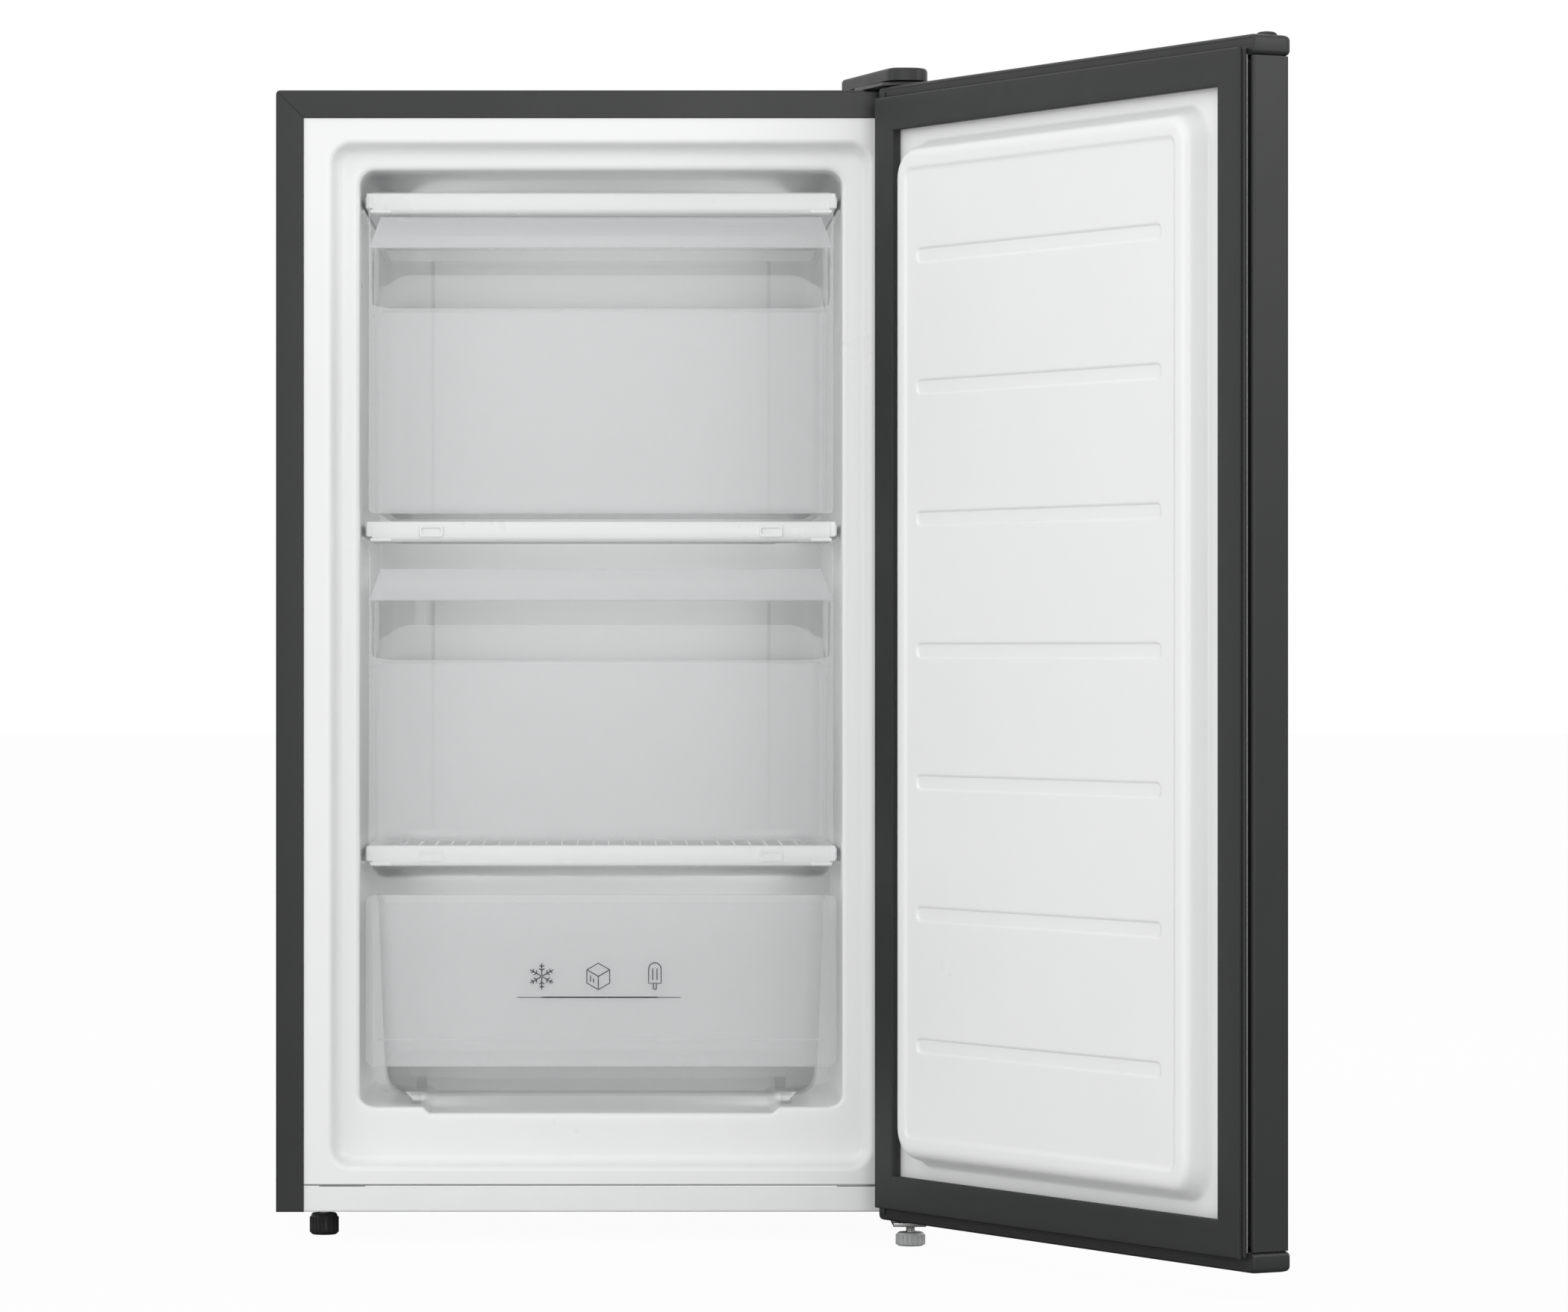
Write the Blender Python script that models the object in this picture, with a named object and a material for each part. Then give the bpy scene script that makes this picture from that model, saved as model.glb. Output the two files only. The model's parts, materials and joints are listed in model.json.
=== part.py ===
"""Under-counter upright freezer with an open door, three drawers and its cooling system.

Run with: blender --background --python part.py, or from Blender's text editor.
Units are metres, +Z is up, the front faces -Y, and the door hangs on the +X side.
Sizes are given in the cabinet's own frame: X = 0 in its middle, Y = 0 on its front face,
Z = 0 on the floor. The door is modelled shut and then turned open about its hinge pins.
"""
import math

import bmesh
import bpy
from mathutils import Vector

# ---- driving dimensions -------------------------------------------------
SHIFT_X = -0.1124  # puts the middle of the whole open freezer on the origin
SHIFT_Y = -0.0030
GAP = 0.0003  # left between pieces that touch

CAB_HALF = 0.240
CAB_TOP = 0.850
CAB_DEPTH = 0.440
CAB_BASE = 0.022  # underside of the side panels
SHEET = 0.0008
FLANGE = 0.0206  # painted front frame of the cabinet
RAIL_TOP = 0.0408

LINER_WALL = 0.0016
LINER_FRONT = 0.0011
CAVITY_BACK = 0.380
CAVITY_HALF = 0.1785
CAVITY_FLOOR = 0.094
CAVITY_ROOF = 0.792
HUMP_Y = 0.245  # step in the cavity above the compressor
HUMP_Z = 0.262
MACHINE_Y = 0.290  # compressor space
MACHINE_Z = 0.215

SHELF_Z = (0.761, 0.517, 0.276)  # underside of each shelf trim
TRIM_HIGH = 0.0155
TRIM_HALF = 0.1745
SHELF_FRONT = 0.033
SHELF_BACK = 0.370
TUBE_R = 0.004

DRAWER_FACE = 0.026
DRAWER_HALF = 0.1726
DRAWER_TUB = 0.168
DRAWER_BACK = 0.355
FRONT_HIGH = 0.239
WALL = 0.002

DOOR_ANGLE = math.radians(119.06)
PIVOT_X = 0.227
PIVOT_Y = -0.0285
DOOR_TOP = 0.8494
DOOR_BASE = 0.019
DOOR_MID = 0.4345
CAP_HIGH = 0.014
SKIN_Y = -0.0385
LIP_Y = -0.009
CAP_Y = -0.041
GASKET_FACE = -0.0012
GASKET_HALF = 0.233
GASKET_RISE = 0.406
GASKET_WIDE = 0.025
DYKE_HALF = 0.190
DYKE_RISE = 0.3705
DYKE_TOP = 0.010

PIN_R = 0.0032
BUSH_R = 0.005

FINISHES = {  # colour, roughness, metallic
    "charcoal_paint": ((0.060, 0.061, 0.063), 0.48, 0.0),
    "charcoal_plastic": ((0.055, 0.056, 0.058), 0.50, 0.0),
    "gasket_vinyl": ((0.060, 0.061, 0.063), 0.60, 0.0),
    "white_plastic": ((0.86, 0.87, 0.87), 0.32, 0.0),
    "white_paint": ((0.86, 0.86, 0.86), 0.35, 0.0),
    "clear_plastic": ((0.78, 0.81, 0.83), 0.18, 0.0),
    "foam": ((0.86, 0.80, 0.58), 0.90, 0.0),
    "galvanised": ((0.62, 0.63, 0.64), 0.42, 0.9),
    "steel": ((0.66, 0.66, 0.66), 0.30, 1.0),
    "black_enamel": ((0.020, 0.020, 0.021), 0.40, 0.0),
    "black_rubber": ((0.030, 0.030, 0.030), 0.75, 0.0),
    "copper": ((0.72, 0.38, 0.22), 0.30, 1.0),
    "aluminium": ((0.78, 0.79, 0.80), 0.35, 1.0),
    "grey_plastic": ((0.33, 0.34, 0.35), 0.50, 0.0),
    "brown_plastic": ((0.85, 0.82, 0.72), 0.45, 0.0),
}


# ---- tools --------------------------------------------------------------
def clear_scene():
    for item in list(bpy.data.objects):
        bpy.data.objects.remove(item, do_unlink=True)


def empty(name, place, parent=None, turn=0.0):
    """A frame that pieces hang from; it is not a piece itself."""
    item = bpy.data.objects.new(name, None)
    item.location = place
    item.rotation_euler = (0.0, 0.0, turn)
    item.parent = parent
    bpy.context.collection.objects.link(item)
    return item


def material(name, finish):
    colour, roughness, metallic = FINISHES[finish]
    made = bpy.data.materials.new(name)
    made.use_nodes = True
    shader = made.node_tree.nodes["Principled BSDF"]
    shader.inputs["Base Color"].default_value = (*colour, 1.0)
    shader.inputs["Roughness"].default_value = roughness
    shader.inputs["Metallic"].default_value = metallic
    return made


def piece(name, work, finish, frame, smooth=False):
    """Make an object from a bmesh, in the frame's own coordinates."""
    bmesh.ops.recalc_face_normals(work, faces=work.faces)
    mesh = bpy.data.meshes.new(name)
    work.to_mesh(mesh)
    work.free()
    for face in mesh.polygons:
        face.use_smooth = smooth
    item = bpy.data.objects.new(name, mesh)
    bpy.context.collection.objects.link(item)
    item.parent = frame["empty"]
    item.location = -Vector(frame["origin"])
    if finish:
        mesh.materials.append(material(name, finish))
    return item


def add_box(work, x, y, z, bevel=0.0, steps=2, axis=None):
    """A box from pairs of limits, bevelled on all edges or on those along one axis."""
    made = bmesh.ops.create_cube(work, size=1.0)
    verts = made["verts"]
    for v in verts:
        v.co.x = x[0] if v.co.x < 0 else x[1]
        v.co.y = y[0] if v.co.y < 0 else y[1]
        v.co.z = z[0] if v.co.z < 0 else z[1]
    if bevel:
        edges = {e for v in verts for e in v.link_edges}
        if axis is not None:
            edges = {e for e in edges if abs((e.verts[0].co - e.verts[1].co)[axis]) > 1e-6}
        bmesh.ops.bevel(work, geom=list(edges), offset=bevel, segments=steps,
                        profile=0.5, affect="EDGES", clamp_overlap=True)


def box(name, x, y, z, finish, frame, bevel=0.0, steps=2, axis=None):
    work = bmesh.new()
    add_box(work, x, y, z, bevel, steps, axis)
    return piece(name, work, finish, frame)


def rounded(half, low, high, radius, y, steps=4):
    """A rounded rectangle in the XZ plane at depth y, as a list of points."""
    points = []
    corners = ((half, high, 0), (-half, high, 1), (-half, low, 2), (half, low, 3))
    for cx, cz, quarter in corners:
        mx = cx - math.copysign(radius, cx)
        mz = cz - radius if cz == high else cz + radius
        for step in range(steps + 1):
            turn = math.radians(90.0 * (quarter + step / steps))
            points.append(Vector((mx + radius * math.cos(turn), y, mz + radius * math.sin(turn))))
    return points


def loft(work, loops, ring=False):
    """Join closed loops of equal length; a ring joins its last loop to its first."""
    rows = [[work.verts.new(p) for p in loop] for loop in loops]
    pairs = list(zip(rows, rows[1:]))
    if ring:
        pairs.append((rows[-1], rows[0]))
    for a, b in pairs:
        for i in range(len(a)):
            j = (i + 1) % len(a)
            work.faces.new((a[i], a[j], b[j], b[i]))
    if not ring:
        work.faces.new(rows[0])
        work.faces.new(rows[-1])


def lathe(name, profile, centre, finish, frame, sides=20, axis="Z", ring=False):
    """Turn a profile of (radius, height) about an upright or fore-and-aft axis."""
    work = bmesh.new()
    loops = []
    for radius, height in profile:
        loop = []
        for step in range(sides):
            turn = 2.0 * math.pi * step / sides
            u = radius * math.cos(turn)
            v = radius * math.sin(turn)
            offset = Vector((u, v, height)) if axis == "Z" else Vector((u, height, v))
            loop.append(Vector(centre) + offset)
        loops.append(loop)
    loft(work, loops, ring)
    return piece(name, work, finish, frame, smooth=False)


def prism(name, outline, low, high, finish, frame, axis="X"):
    """Push a flat outline through a thickness: YZ outlines along X, XY outlines along Z."""
    work = bmesh.new()
    loops = []
    for level in (low, high):
        if axis == "X":
            loops.append([Vector((level, a, b)) for a, b in outline])
        else:
            loops.append([Vector((a, b, level)) for a, b in outline])
    loft(work, loops)
    return piece(name, work, finish, frame)


def sweep(work, points, radius, sides=6):
    """A round tube along a path, with flat ends."""
    path = [Vector(p) for p in points]
    side = None
    loops = []
    for i, here in enumerate(path):
        before = path[max(i - 1, 0)]
        after = path[min(i + 1, len(path) - 1)]
        along = (after - before).normalized()
        if side is None:
            side = along.orthogonal().normalized()
        side = (side - along * side.dot(along)).normalized()
        up = along.cross(side)
        turns = [2.0 * math.pi * k / sides for k in range(sides)]
        loops.append([here + radius * (math.cos(t) * side + math.sin(t) * up) for t in turns])
    loft(work, loops)


def serpentine(half, rows, pitch, bend_steps=4):
    """Points of a coil that runs left and right, as (across, along) pairs."""
    bend = pitch / 2.0
    points = []
    for row in range(rows):
        way = 1 if row % 2 == 0 else -1
        points.append((-way * (half - bend), row * pitch))
        points.append((way * (half - bend), row * pitch))
        if row < rows - 1:
            for step in range(1, bend_steps):
                turn = math.pi * step / bend_steps
                points.append((way * (half - bend + bend * math.sin(turn)),
                               row * pitch + bend * (1.0 - math.cos(turn))))
    return points


def combine(target, tool, how):
    change = target.modifiers.new(how.lower(), "BOOLEAN")
    change.operation = how
    change.solver = "EXACT"
    change.object = tool
    tool.hide_render = True
    tool.display_type = "WIRE"


def cut_box(target, name, x, y, z, frame, bevel=0.0, axis=None):
    tool = box(name, x, y, z, None, frame, bevel, axis=axis)
    combine(target, tool, "DIFFERENCE")


def join_box(target, name, x, y, z, frame, bevel=0.0):
    tool = box(name, x, y, z, None, frame, bevel)
    combine(target, tool, "UNION")


def cut_hole(target, name, centre, radius, low, high, frame, sides=20):
    tool = lathe(name, [(radius, low), (radius, high)], centre, None, frame, sides)
    combine(target, tool, "DIFFERENCE")


# ---- cabinet ------------------------------------------------------------
def cavity(name, grow, frame):
    """The hollow inside the liner, made larger all round by grow."""
    work = bmesh.new()
    loft(work, [
        rounded(0.199 + grow, 0.055 - grow, 0.811 + grow, 0.014 + grow, LINER_FRONT - 0.002),
        rounded(0.199 + grow, 0.055 - grow, 0.811 + grow, 0.014 + grow, LINER_FRONT + grow),
        rounded(0.197 + grow, 0.057 - grow, 0.809 + grow, 0.013 + grow, 0.016 + grow),
        rounded(CAVITY_HALF + grow, CAVITY_FLOOR - grow, CAVITY_ROOF + grow, 0.010 + grow,
                0.018 + grow),
        rounded(CAVITY_HALF - 0.002 + grow, CAVITY_FLOOR - grow, CAVITY_ROOF - 0.002 + grow,
                0.010 + grow, CAVITY_BACK + grow),
    ])
    made = piece(name, work, None, frame)
    cut_box(made, name + "_hump", (-0.3, 0.3), (HUMP_Y + grow, 0.5), (0.0, HUMP_Z - grow), frame)
    return made


def make_wrapper(frame):
    wrapper = box("cabinet_wrapper", (-CAB_HALF, CAB_HALF), (0.0, CAB_DEPTH),
                  (CAB_BASE, CAB_TOP), "charcoal_paint", frame)
    inner = CAB_HALF - SHEET
    cut_box(wrapper, "wrapper_inside", (-inner, inner), (SHEET, 0.6), (0.0, CAB_TOP - SHEET), frame)
    mouth = CAB_HALF - FLANGE
    cut_box(wrapper, "wrapper_mouth", (-mouth, mouth), (-0.01, 0.01), (0.0, CAB_TOP - FLANGE), frame)
    edge = wrapper.modifiers.new("soft_edges", "BEVEL")
    edge.width = 0.0004
    edge.segments = 1
    edge.limit_method = "ANGLE"
    edge.angle_limit = math.radians(60.0)


def make_liner(frame):
    liner = box("cabinet_liner", (-0.232, 0.232), (LINER_FRONT, LINER_FRONT + LINER_WALL),
                (0.0424, 0.842), "white_plastic", frame)
    combine(liner, cavity("liner_outside", LINER_WALL, frame), "UNION")
    cut_box(liner, "liner_face", (-0.3, 0.3), (-0.05, LINER_FRONT), (0.0, 0.9), frame)
    combine(liner, cavity("liner_inside", 0.0, frame), "DIFFERENCE")


def make_foam(frame):
    inner = CAB_HALF - SHEET - GAP
    foam = box("cabinet_foam", (-inner, inner), (0.003, 0.4339), (0.0424, 0.8489), "foam", frame)
    combine(foam, cavity("foam_hollow", LINER_WALL + GAP, frame), "DIFFERENCE")
    cut_box(foam, "foam_step", (-0.3, 0.3), (MACHINE_Y - GAP, 0.5), (0.0, MACHINE_Z + GAP), frame)


def make_panels(frame):
    inner = CAB_HALF - SHEET - GAP
    box("back_panel", (-inner, inner), (0.4342, 0.4350), (0.200, 0.8489), "galvanised", frame)
    box("base_pan", (-inner, inner), (0.003, MACHINE_Y - GAP), (0.0411, 0.0421), "galvanised", frame)
    bend = [(MACHINE_Y, 0.0245), (MACHINE_Y + 0.001, 0.0245), (MACHINE_Y + 0.001, 0.214),
            (0.4339, 0.214), (0.4339, MACHINE_Z), (MACHINE_Y, MACHINE_Z)]
    prism("machine_panel", bend, -inner, inner, "galvanised", frame)
    rail = [(LINER_FRONT, CAB_BASE), (0.085, CAB_BASE), (0.085, CAB_BASE + 0.001),
            (0.0023, CAB_BASE + 0.001), (0.0023, RAIL_TOP), (LINER_FRONT, RAIL_TOP)]
    prism("kick_rail", rail, -inner, inner, "white_paint", frame)
    box("compressor_rail", (-inner, inner), (0.292, 0.438), (CAB_BASE, 0.024), "galvanised", frame)


# ---- cooling system -----------------------------------------------------
def make_shelf(label, low, frame):
    """An evaporator shelf: a flat coil of tube between two side rails."""
    middle = low + TRIM_HIGH / 2.0
    work = bmesh.new()
    path = serpentine(0.162, 7, 0.048)
    sweep(work, [(x, SHELF_FRONT + 0.028 + y, middle) for x, y in path], TUBE_R)
    shelf = piece("evaporator_" + label, work, "aluminium", frame)
    for side, start, end in (("left", -0.1755, -0.1560), ("right", 0.1560, 0.1755)):
        join_box(shelf, "rail_%s_%s" % (label, side), (start, end),
                 (SHELF_FRONT + 0.0133, SHELF_BACK), (middle - 0.0025, middle + 0.0055), frame)


def make_trim(label, low, frame):
    """The moulded strip on a shelf's front edge, with two clip sockets where they show."""
    trim = box("shelf_trim_" + label, (-TRIM_HALF, TRIM_HALF), (SHELF_FRONT, SHELF_FRONT + 0.013),
               (low, low + TRIM_HIGH), "white_plastic", frame, bevel=0.0012, steps=1)
    if label != "top":
        for side in (-1, 1):
            x = side * 0.126
            join_box(trim, "clip_%s_%d" % (label, side), (x - 0.009, x + 0.009),
                     (SHELF_FRONT - 0.0015, SHELF_FRONT + 0.002), (low + 0.0045, low + 0.012), frame)


def make_compressor(frame):
    """The sealed can on its foot plate, on four rubber mounts."""
    centre = Vector((0.060, 0.366, 0.0))
    work = bmesh.new()
    outline = [(0.55, 0.040), (0.90, 0.048), (1.0, 0.066), (1.0, 0.108), (1.04, 0.110),
               (1.04, 0.115), (1.0, 0.117), (0.99, 0.150), (0.86, 0.172), (0.50, 0.184)]
    loops = []
    for scale, height in outline:
        turns = [2.0 * math.pi * k / 20 for k in range(20)]
        loops.append([centre + Vector((0.074 * scale * math.cos(t), 0.054 * scale * math.sin(t),
                                       height)) for t in turns])
    loft(work, loops)
    can = piece("compressor", work, "black_enamel", frame)
    join_box(can, "compressor_feet", (-0.030, 0.150), (0.312, 0.420), (0.0383, 0.0412), frame)
    spots = [(x, y) for x in (-0.018, 0.138) for y in (0.324, 0.408)]
    for index, (x, y) in enumerate(spots, start=1):
        lathe("rubber_mount_%d" % index, [(0.009, 0.0243), (0.009, 0.030), (0.0065, 0.032),
              (0.009, 0.034), (0.009, 0.038)], (x, y, 0.0), "black_rubber", frame, sides=12)
    box("relay_cover", (-0.047, -0.0175), (0.346, 0.386), (0.070, 0.125), "black_rubber", frame,
        bevel=0.003, steps=1)


def make_pipes(frame):
    lathe("filter_drier", [(0.003, 0.090), (0.010, 0.100), (0.010, 0.165), (0.003, 0.180)],
          (-0.120, 0.410, 0.0), "copper", frame, sides=12)
    work = bmesh.new()
    sweep(work, [(0.1385, 0.366, 0.090), (0.150, 0.366, 0.090), (0.160, 0.370, 0.096),
                 (0.165, 0.385, 0.110), (0.168, 0.420, 0.125), (0.170, 0.445, 0.140),
                 (0.172, 0.4496, 0.160), (0.172, 0.4496, 0.2265)], 0.0024)
    piece("discharge_pipe", work, "copper", frame)
    work = bmesh.new()
    sweep(work, [(0.1385, 0.352, 0.070), (0.156, 0.352, 0.070), (0.168, 0.350, 0.078),
                 (0.176, 0.346, 0.095), (0.178, 0.344, 0.130), (0.178, 0.344, 0.2137)], 0.0032)
    piece("suction_pipe", work, "copper", frame)
    work = bmesh.new()
    path = [(-x, y) for x, y in serpentine(0.205, 12, 0.048)]
    sweep(work, [(x, 0.4496, 0.240 + z) for x, z in path], 0.0024)
    piece("condenser_coil", work, "black_enamel", frame)
    for index, (x, z) in enumerate([(-0.14, 0.240), (0.14, 0.240), (-0.14, 0.768), (0.14, 0.768)]):
        box("coil_bracket_%d" % (index + 1), (x - 0.006, x + 0.006), (0.4353, 0.4469),
            (z - 0.010, z + 0.010), "black_enamel", frame, bevel=0.001, steps=1)


def make_controls(frame):
    box("thermostat_box", (-0.222, -0.158), (0.392, 0.4282), (0.150, 0.2137), "grey_plastic",
        frame, bevel=0.003, steps=2)
    gland = box("cord_gland", (-0.085, -0.061), (0.424, 0.436), (0.0243, 0.046), "black_rubber",
                frame, bevel=0.002, steps=1)
    hole = lathe("gland_bore", [(0.0045, -0.02), (0.0045, 0.02)], (-0.073, 0.430, 0.036), None,
                 frame, sides=12, axis="Y")
    combine(gland, hole, "DIFFERENCE")
    spin = empty("knob_axis", (-0.190, 0.4285, 0.184), frame["empty"])
    knob_frame = {"empty": spin, "origin": (-0.190, 0.4285, 0.184)}
    knob = lathe("thermostat_knob", [(0.016, 0.0), (0.016, 0.004), (0.0135, 0.0055), (0.0125, 0.012),
                 (0.010, 0.0125)], (-0.190, 0.4285, 0.184), "white_plastic", knob_frame, 24, "Y")
    cut_box(knob, "knob_slot", (-0.1912, -0.1888), (0.4385, 0.45), (0.180, 0.21), knob_frame)


# ---- drawers ------------------------------------------------------------
def make_tall_drawer(name, low, tub_low, frame):
    """A deep drawer: a tub that is open at the front, and the tall front that closes it."""
    high = low + FRONT_HIGH
    inner = DRAWER_TUB - WALL
    tub = box(name, (-DRAWER_TUB, DRAWER_TUB), (0.0, DRAWER_BACK), (tub_low, high - 0.032),
              "clear_plastic", frame, bevel=0.012, steps=3, axis=2)
    cut_box(tub, name + "_inside", (-inner, inner), (-0.02, DRAWER_BACK - WALL),
            (tub_low + 0.0025, high + 0.1), frame, bevel=0.010, axis=2)
    cut_box(tub, name + "_mouth", (-0.2, 0.2), (-0.1, DRAWER_FACE + 0.003 + GAP),
            (low - 0.1, high + 0.1), frame)
    front = box(name + "_front", (-DRAWER_HALF, DRAWER_HALF), (DRAWER_FACE, DRAWER_FACE + 0.003),
                (low, high), "clear_plastic", frame)
    join_box(front, name + "_hollow", (GAP - inner, inner - GAP), (DRAWER_FACE + 0.001, 0.054),
             (high - 0.089, high - 0.040), frame)
    pocket = 0.162
    cut_box(front, name + "_fingers", (-pocket, pocket), (0.0, 0.052),
            (high - 0.087, high - 0.042), frame)
    face = DRAWER_FACE + 0.001
    flare = [(face, high - 0.020), (face, high - 0.024), (0.0165, high - 0.0424),
             (0.0140, high - 0.0424), (0.0215, high - 0.0240)]
    combine(front, prism(name + "_pull", flare, -0.166, 0.166, None, frame), "UNION")


def make_low_drawer(name, frame):
    """The shallow drawer in front of the hump: tapered tub on four feet, and its wide front plate."""
    work = bmesh.new()
    add_tub(work, [(0.105, 0.160, 0.0345, 0.228), (0.255, 0.166, 0.0318, 0.232)], 0.0)
    drawer = piece(name, work, "clear_plastic", frame)
    work = bmesh.new()
    add_tub(work, [(0.1075, 0.158, 0.0365, 0.226), (0.2551, 0.164, 0.0338, 0.230)], 0.0)
    combine(drawer, piece(name + "_inside", work, None, frame), "DIFFERENCE")
    for side in (-1, 1):
        for y in (0.045, 0.200):
            x = sorted((side * 0.126, side * 0.138))
            join_box(drawer, "%s_foot_%d_%d" % (name, side, y * 1000), tuple(x), (y, y + 0.012),
                     (CAVITY_FLOOR + GAP, 0.1065), frame)
    box(name + "_front", (-0.175, 0.175), (0.0285, 0.0315), (0.127, 0.255), "clear_plastic", frame,
        bevel=0.0008, steps=1)


def add_tub(work, sections, turn):
    """A four-sided tapered block with rounded upright corners, from (z, half, front, back)."""
    loops = []
    for z, half, front, back in sections:
        radius = 0.014
        loop = []
        corners = ((half, back, 0), (-half, back, 1), (-half, front, 2), (half, front, 3))
        for cx, cy, quarter in corners:
            mx = cx - math.copysign(radius, cx)
            my = cy - radius if cy == back else cy + radius
            for step in range(4):
                angle = math.radians(90.0 * (quarter + step / 3.0)) + turn
                loop.append(Vector((mx + radius * math.cos(angle), my + radius * math.sin(angle), z)))
        loops.append(loop)
    loft(work, loops)


# ---- door ---------------------------------------------------------------
def make_door(frame):
    low = DOOR_BASE + CAP_HIGH + GAP
    high = DOOR_TOP - CAP_HIGH - GAP
    edge = CAB_HALF
    lip = edge - 0.0035
    inside = edge - SHEET
    skin = [(-edge, SKIN_Y), (edge, SKIN_Y), (edge, LIP_Y), (lip, LIP_Y), (lip, LIP_Y - SHEET),
            (inside, LIP_Y - SHEET), (inside, SKIN_Y + SHEET), (-inside, SKIN_Y + SHEET),
            (-inside, LIP_Y - SHEET), (-lip, LIP_Y - SHEET), (-lip, LIP_Y), (-edge, LIP_Y)]
    prism("door_skin", skin, low, high, "charcoal_paint", frame, axis="Z")

    def section(half, rise, radius, y):
        return rounded(half, DOOR_MID - rise, DOOR_MID + rise, radius, y)

    core = 0.4006
    work = bmesh.new()
    loft(work, [
        section(inside - GAP, core, 0.001, SKIN_Y + SHEET + GAP),
        section(inside - GAP, core, 0.001, -0.017),
        section(0.2307, core, 0.001, -0.017),
        section(0.2307, core, 0.001, -0.0105),
        section(DYKE_HALF - 0.0015, DYKE_RISE - 0.0015, 0.0225, -0.0105),
        section(DYKE_HALF - 0.0055, DYKE_RISE - 0.0090, 0.0185, DYKE_TOP - 0.0015),
    ])
    piece("door_foam", work, "foam", frame)

    work = bmesh.new()
    loft(work, [
        section(DYKE_HALF - 0.0052, DYKE_RISE - 0.0087, 0.0188, DYKE_TOP - 0.0012),
        section(DYKE_HALF - 0.0012, DYKE_RISE - 0.0012, 0.0228, -0.0102),
        section(0.231, 0.410, 0.001, -0.0102),
        section(0.231, 0.410, 0.001, LIP_Y),
        section(DYKE_HALF, DYKE_RISE, 0.024, LIP_Y),
        section(DYKE_HALF - 0.004, DYKE_RISE - 0.0075, 0.020, DYKE_TOP),
    ])
    piece("door_liner", work, "white_plastic", frame)

    work = bmesh.new()
    wide = GASKET_HALF - GASKET_WIDE
    tall = GASKET_RISE - GASKET_WIDE
    back = LIP_Y + GAP
    loft(work, [
        section(GASKET_HALF, GASKET_RISE, 0.0012, back),
        section(GASKET_HALF, GASKET_RISE, 0.0012, GASKET_FACE),
        section(wide, tall, 0.0012, GASKET_FACE),
        section(wide, tall, 0.0012, back),
    ], ring=True)
    piece("door_gasket", work, "gasket_vinyl", frame)


def make_cap(name, low, pocket, frame):
    """A moulded door end: it takes the liner's edge and the hinge bush."""
    cap = box(name, (-CAB_HALF, CAB_HALF), (CAP_Y, LIP_Y), (low, low + CAP_HIGH),
              "charcoal_plastic", frame, bevel=0.002, steps=2)
    side = CAB_HALF - 0.0038
    cut_box(cap, name + "_pocket", (-side, side), (-0.0102 - GAP, 0.01), pocket, frame)
    cut_hole(cap, name + "_bore", (PIVOT_X, PIVOT_Y, 0.0), BUSH_R + GAP, low - 0.01,
             low + CAP_HIGH + 0.01, frame, sides=16)


def make_door_ends(frame):
    top = DOOR_TOP - CAP_HIGH
    make_cap("door_top_cap", top, (top - 0.01, DOOR_MID + 0.4115), frame)
    make_cap("door_bottom_cap", DOOR_BASE, (DOOR_MID - 0.4115, DOOR_BASE + CAP_HIGH + 0.01), frame)
    lathe("door_cap_plug", [(0.0070, 0.0), (0.0068, 0.0010), (0.0052, 0.0022), (0.0022, 0.0028)],
          (-PIVOT_X, PIVOT_Y, DOOR_TOP + GAP), "black_rubber", frame, sides=16)
    ring = [(PIN_R + GAP, 0.0), (BUSH_R, 0.0), (BUSH_R, 0.0110), (PIN_R + GAP, 0.0110)]
    spot = (PIVOT_X, PIVOT_Y)
    lathe("top_hinge_bush", ring, (*spot, DOOR_TOP - 0.0112), "grey_plastic", frame, 16, ring=True)
    lathe("bottom_hinge_bush", ring, (*spot, DOOR_BASE + 0.0002), "grey_plastic", frame, 16, ring=True)


# ---- hinges and feet ----------------------------------------------------
def make_top_hinge(frame):
    bracket = prism("top_hinge_bracket", [(0.206, -0.034), (0.218, -0.040), (0.232, -0.040),
                    (0.237, -0.034), (0.237, 0.058), (0.188, 0.058), (0.188, 0.018)],
                    CAB_TOP + GAP, CAB_TOP + 0.0028, "steel", frame, axis="Z")
    spots = [(0.199, 0.046), (0.228, 0.046), (0.213, 0.020)]
    for index, (x, y) in enumerate(spots, start=1):
        cut_hole(bracket, "bracket_hole_%d" % index, (x, y, 0.0), 0.0025, 0.84, 0.86, frame, 12)
        lathe("top_hinge_screw_%d" % index, [(0.0021, CAB_TOP + GAP), (0.0021, CAB_TOP + 0.0031),
              (0.0046, CAB_TOP + 0.0031), (0.0044, CAB_TOP + 0.0048), (0.0025, CAB_TOP + 0.0058)],
              (x, y, 0.0), "steel", frame, sides=12)
    lathe("top_hinge_pin", [(PIN_R - 0.0008, 0.0), (PIN_R, 0.0008), (PIN_R, 0.0116)],
          (PIVOT_X, PIVOT_Y, CAB_TOP - 0.0116), "steel", frame, sides=16)
    low = CAB_TOP + 0.0031
    cover = prism("hinge_cover", [(0.198, -0.036), (0.207, -0.043), (0.218, -0.045),
                  (0.230, -0.044), (0.2375, -0.038), (0.2395, -0.028), (0.2395, 0.062),
                  (0.236, 0.065), (0.183, 0.065), (0.180, 0.062), (0.180, 0.010), (0.182, 0.002)],
                  low, 0.863, "charcoal_plastic", frame, axis="Z")
    hollow = prism("cover_hollow", [(0.204, -0.030), (0.216, -0.042), (0.230, -0.041),
                   (0.2375, -0.026), (0.2375, 0.062), (0.183, 0.062), (0.183, 0.008)],
                   low - 0.01, 0.861, None, frame, axis="Z")
    combine(cover, hollow, "DIFFERENCE")


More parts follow.
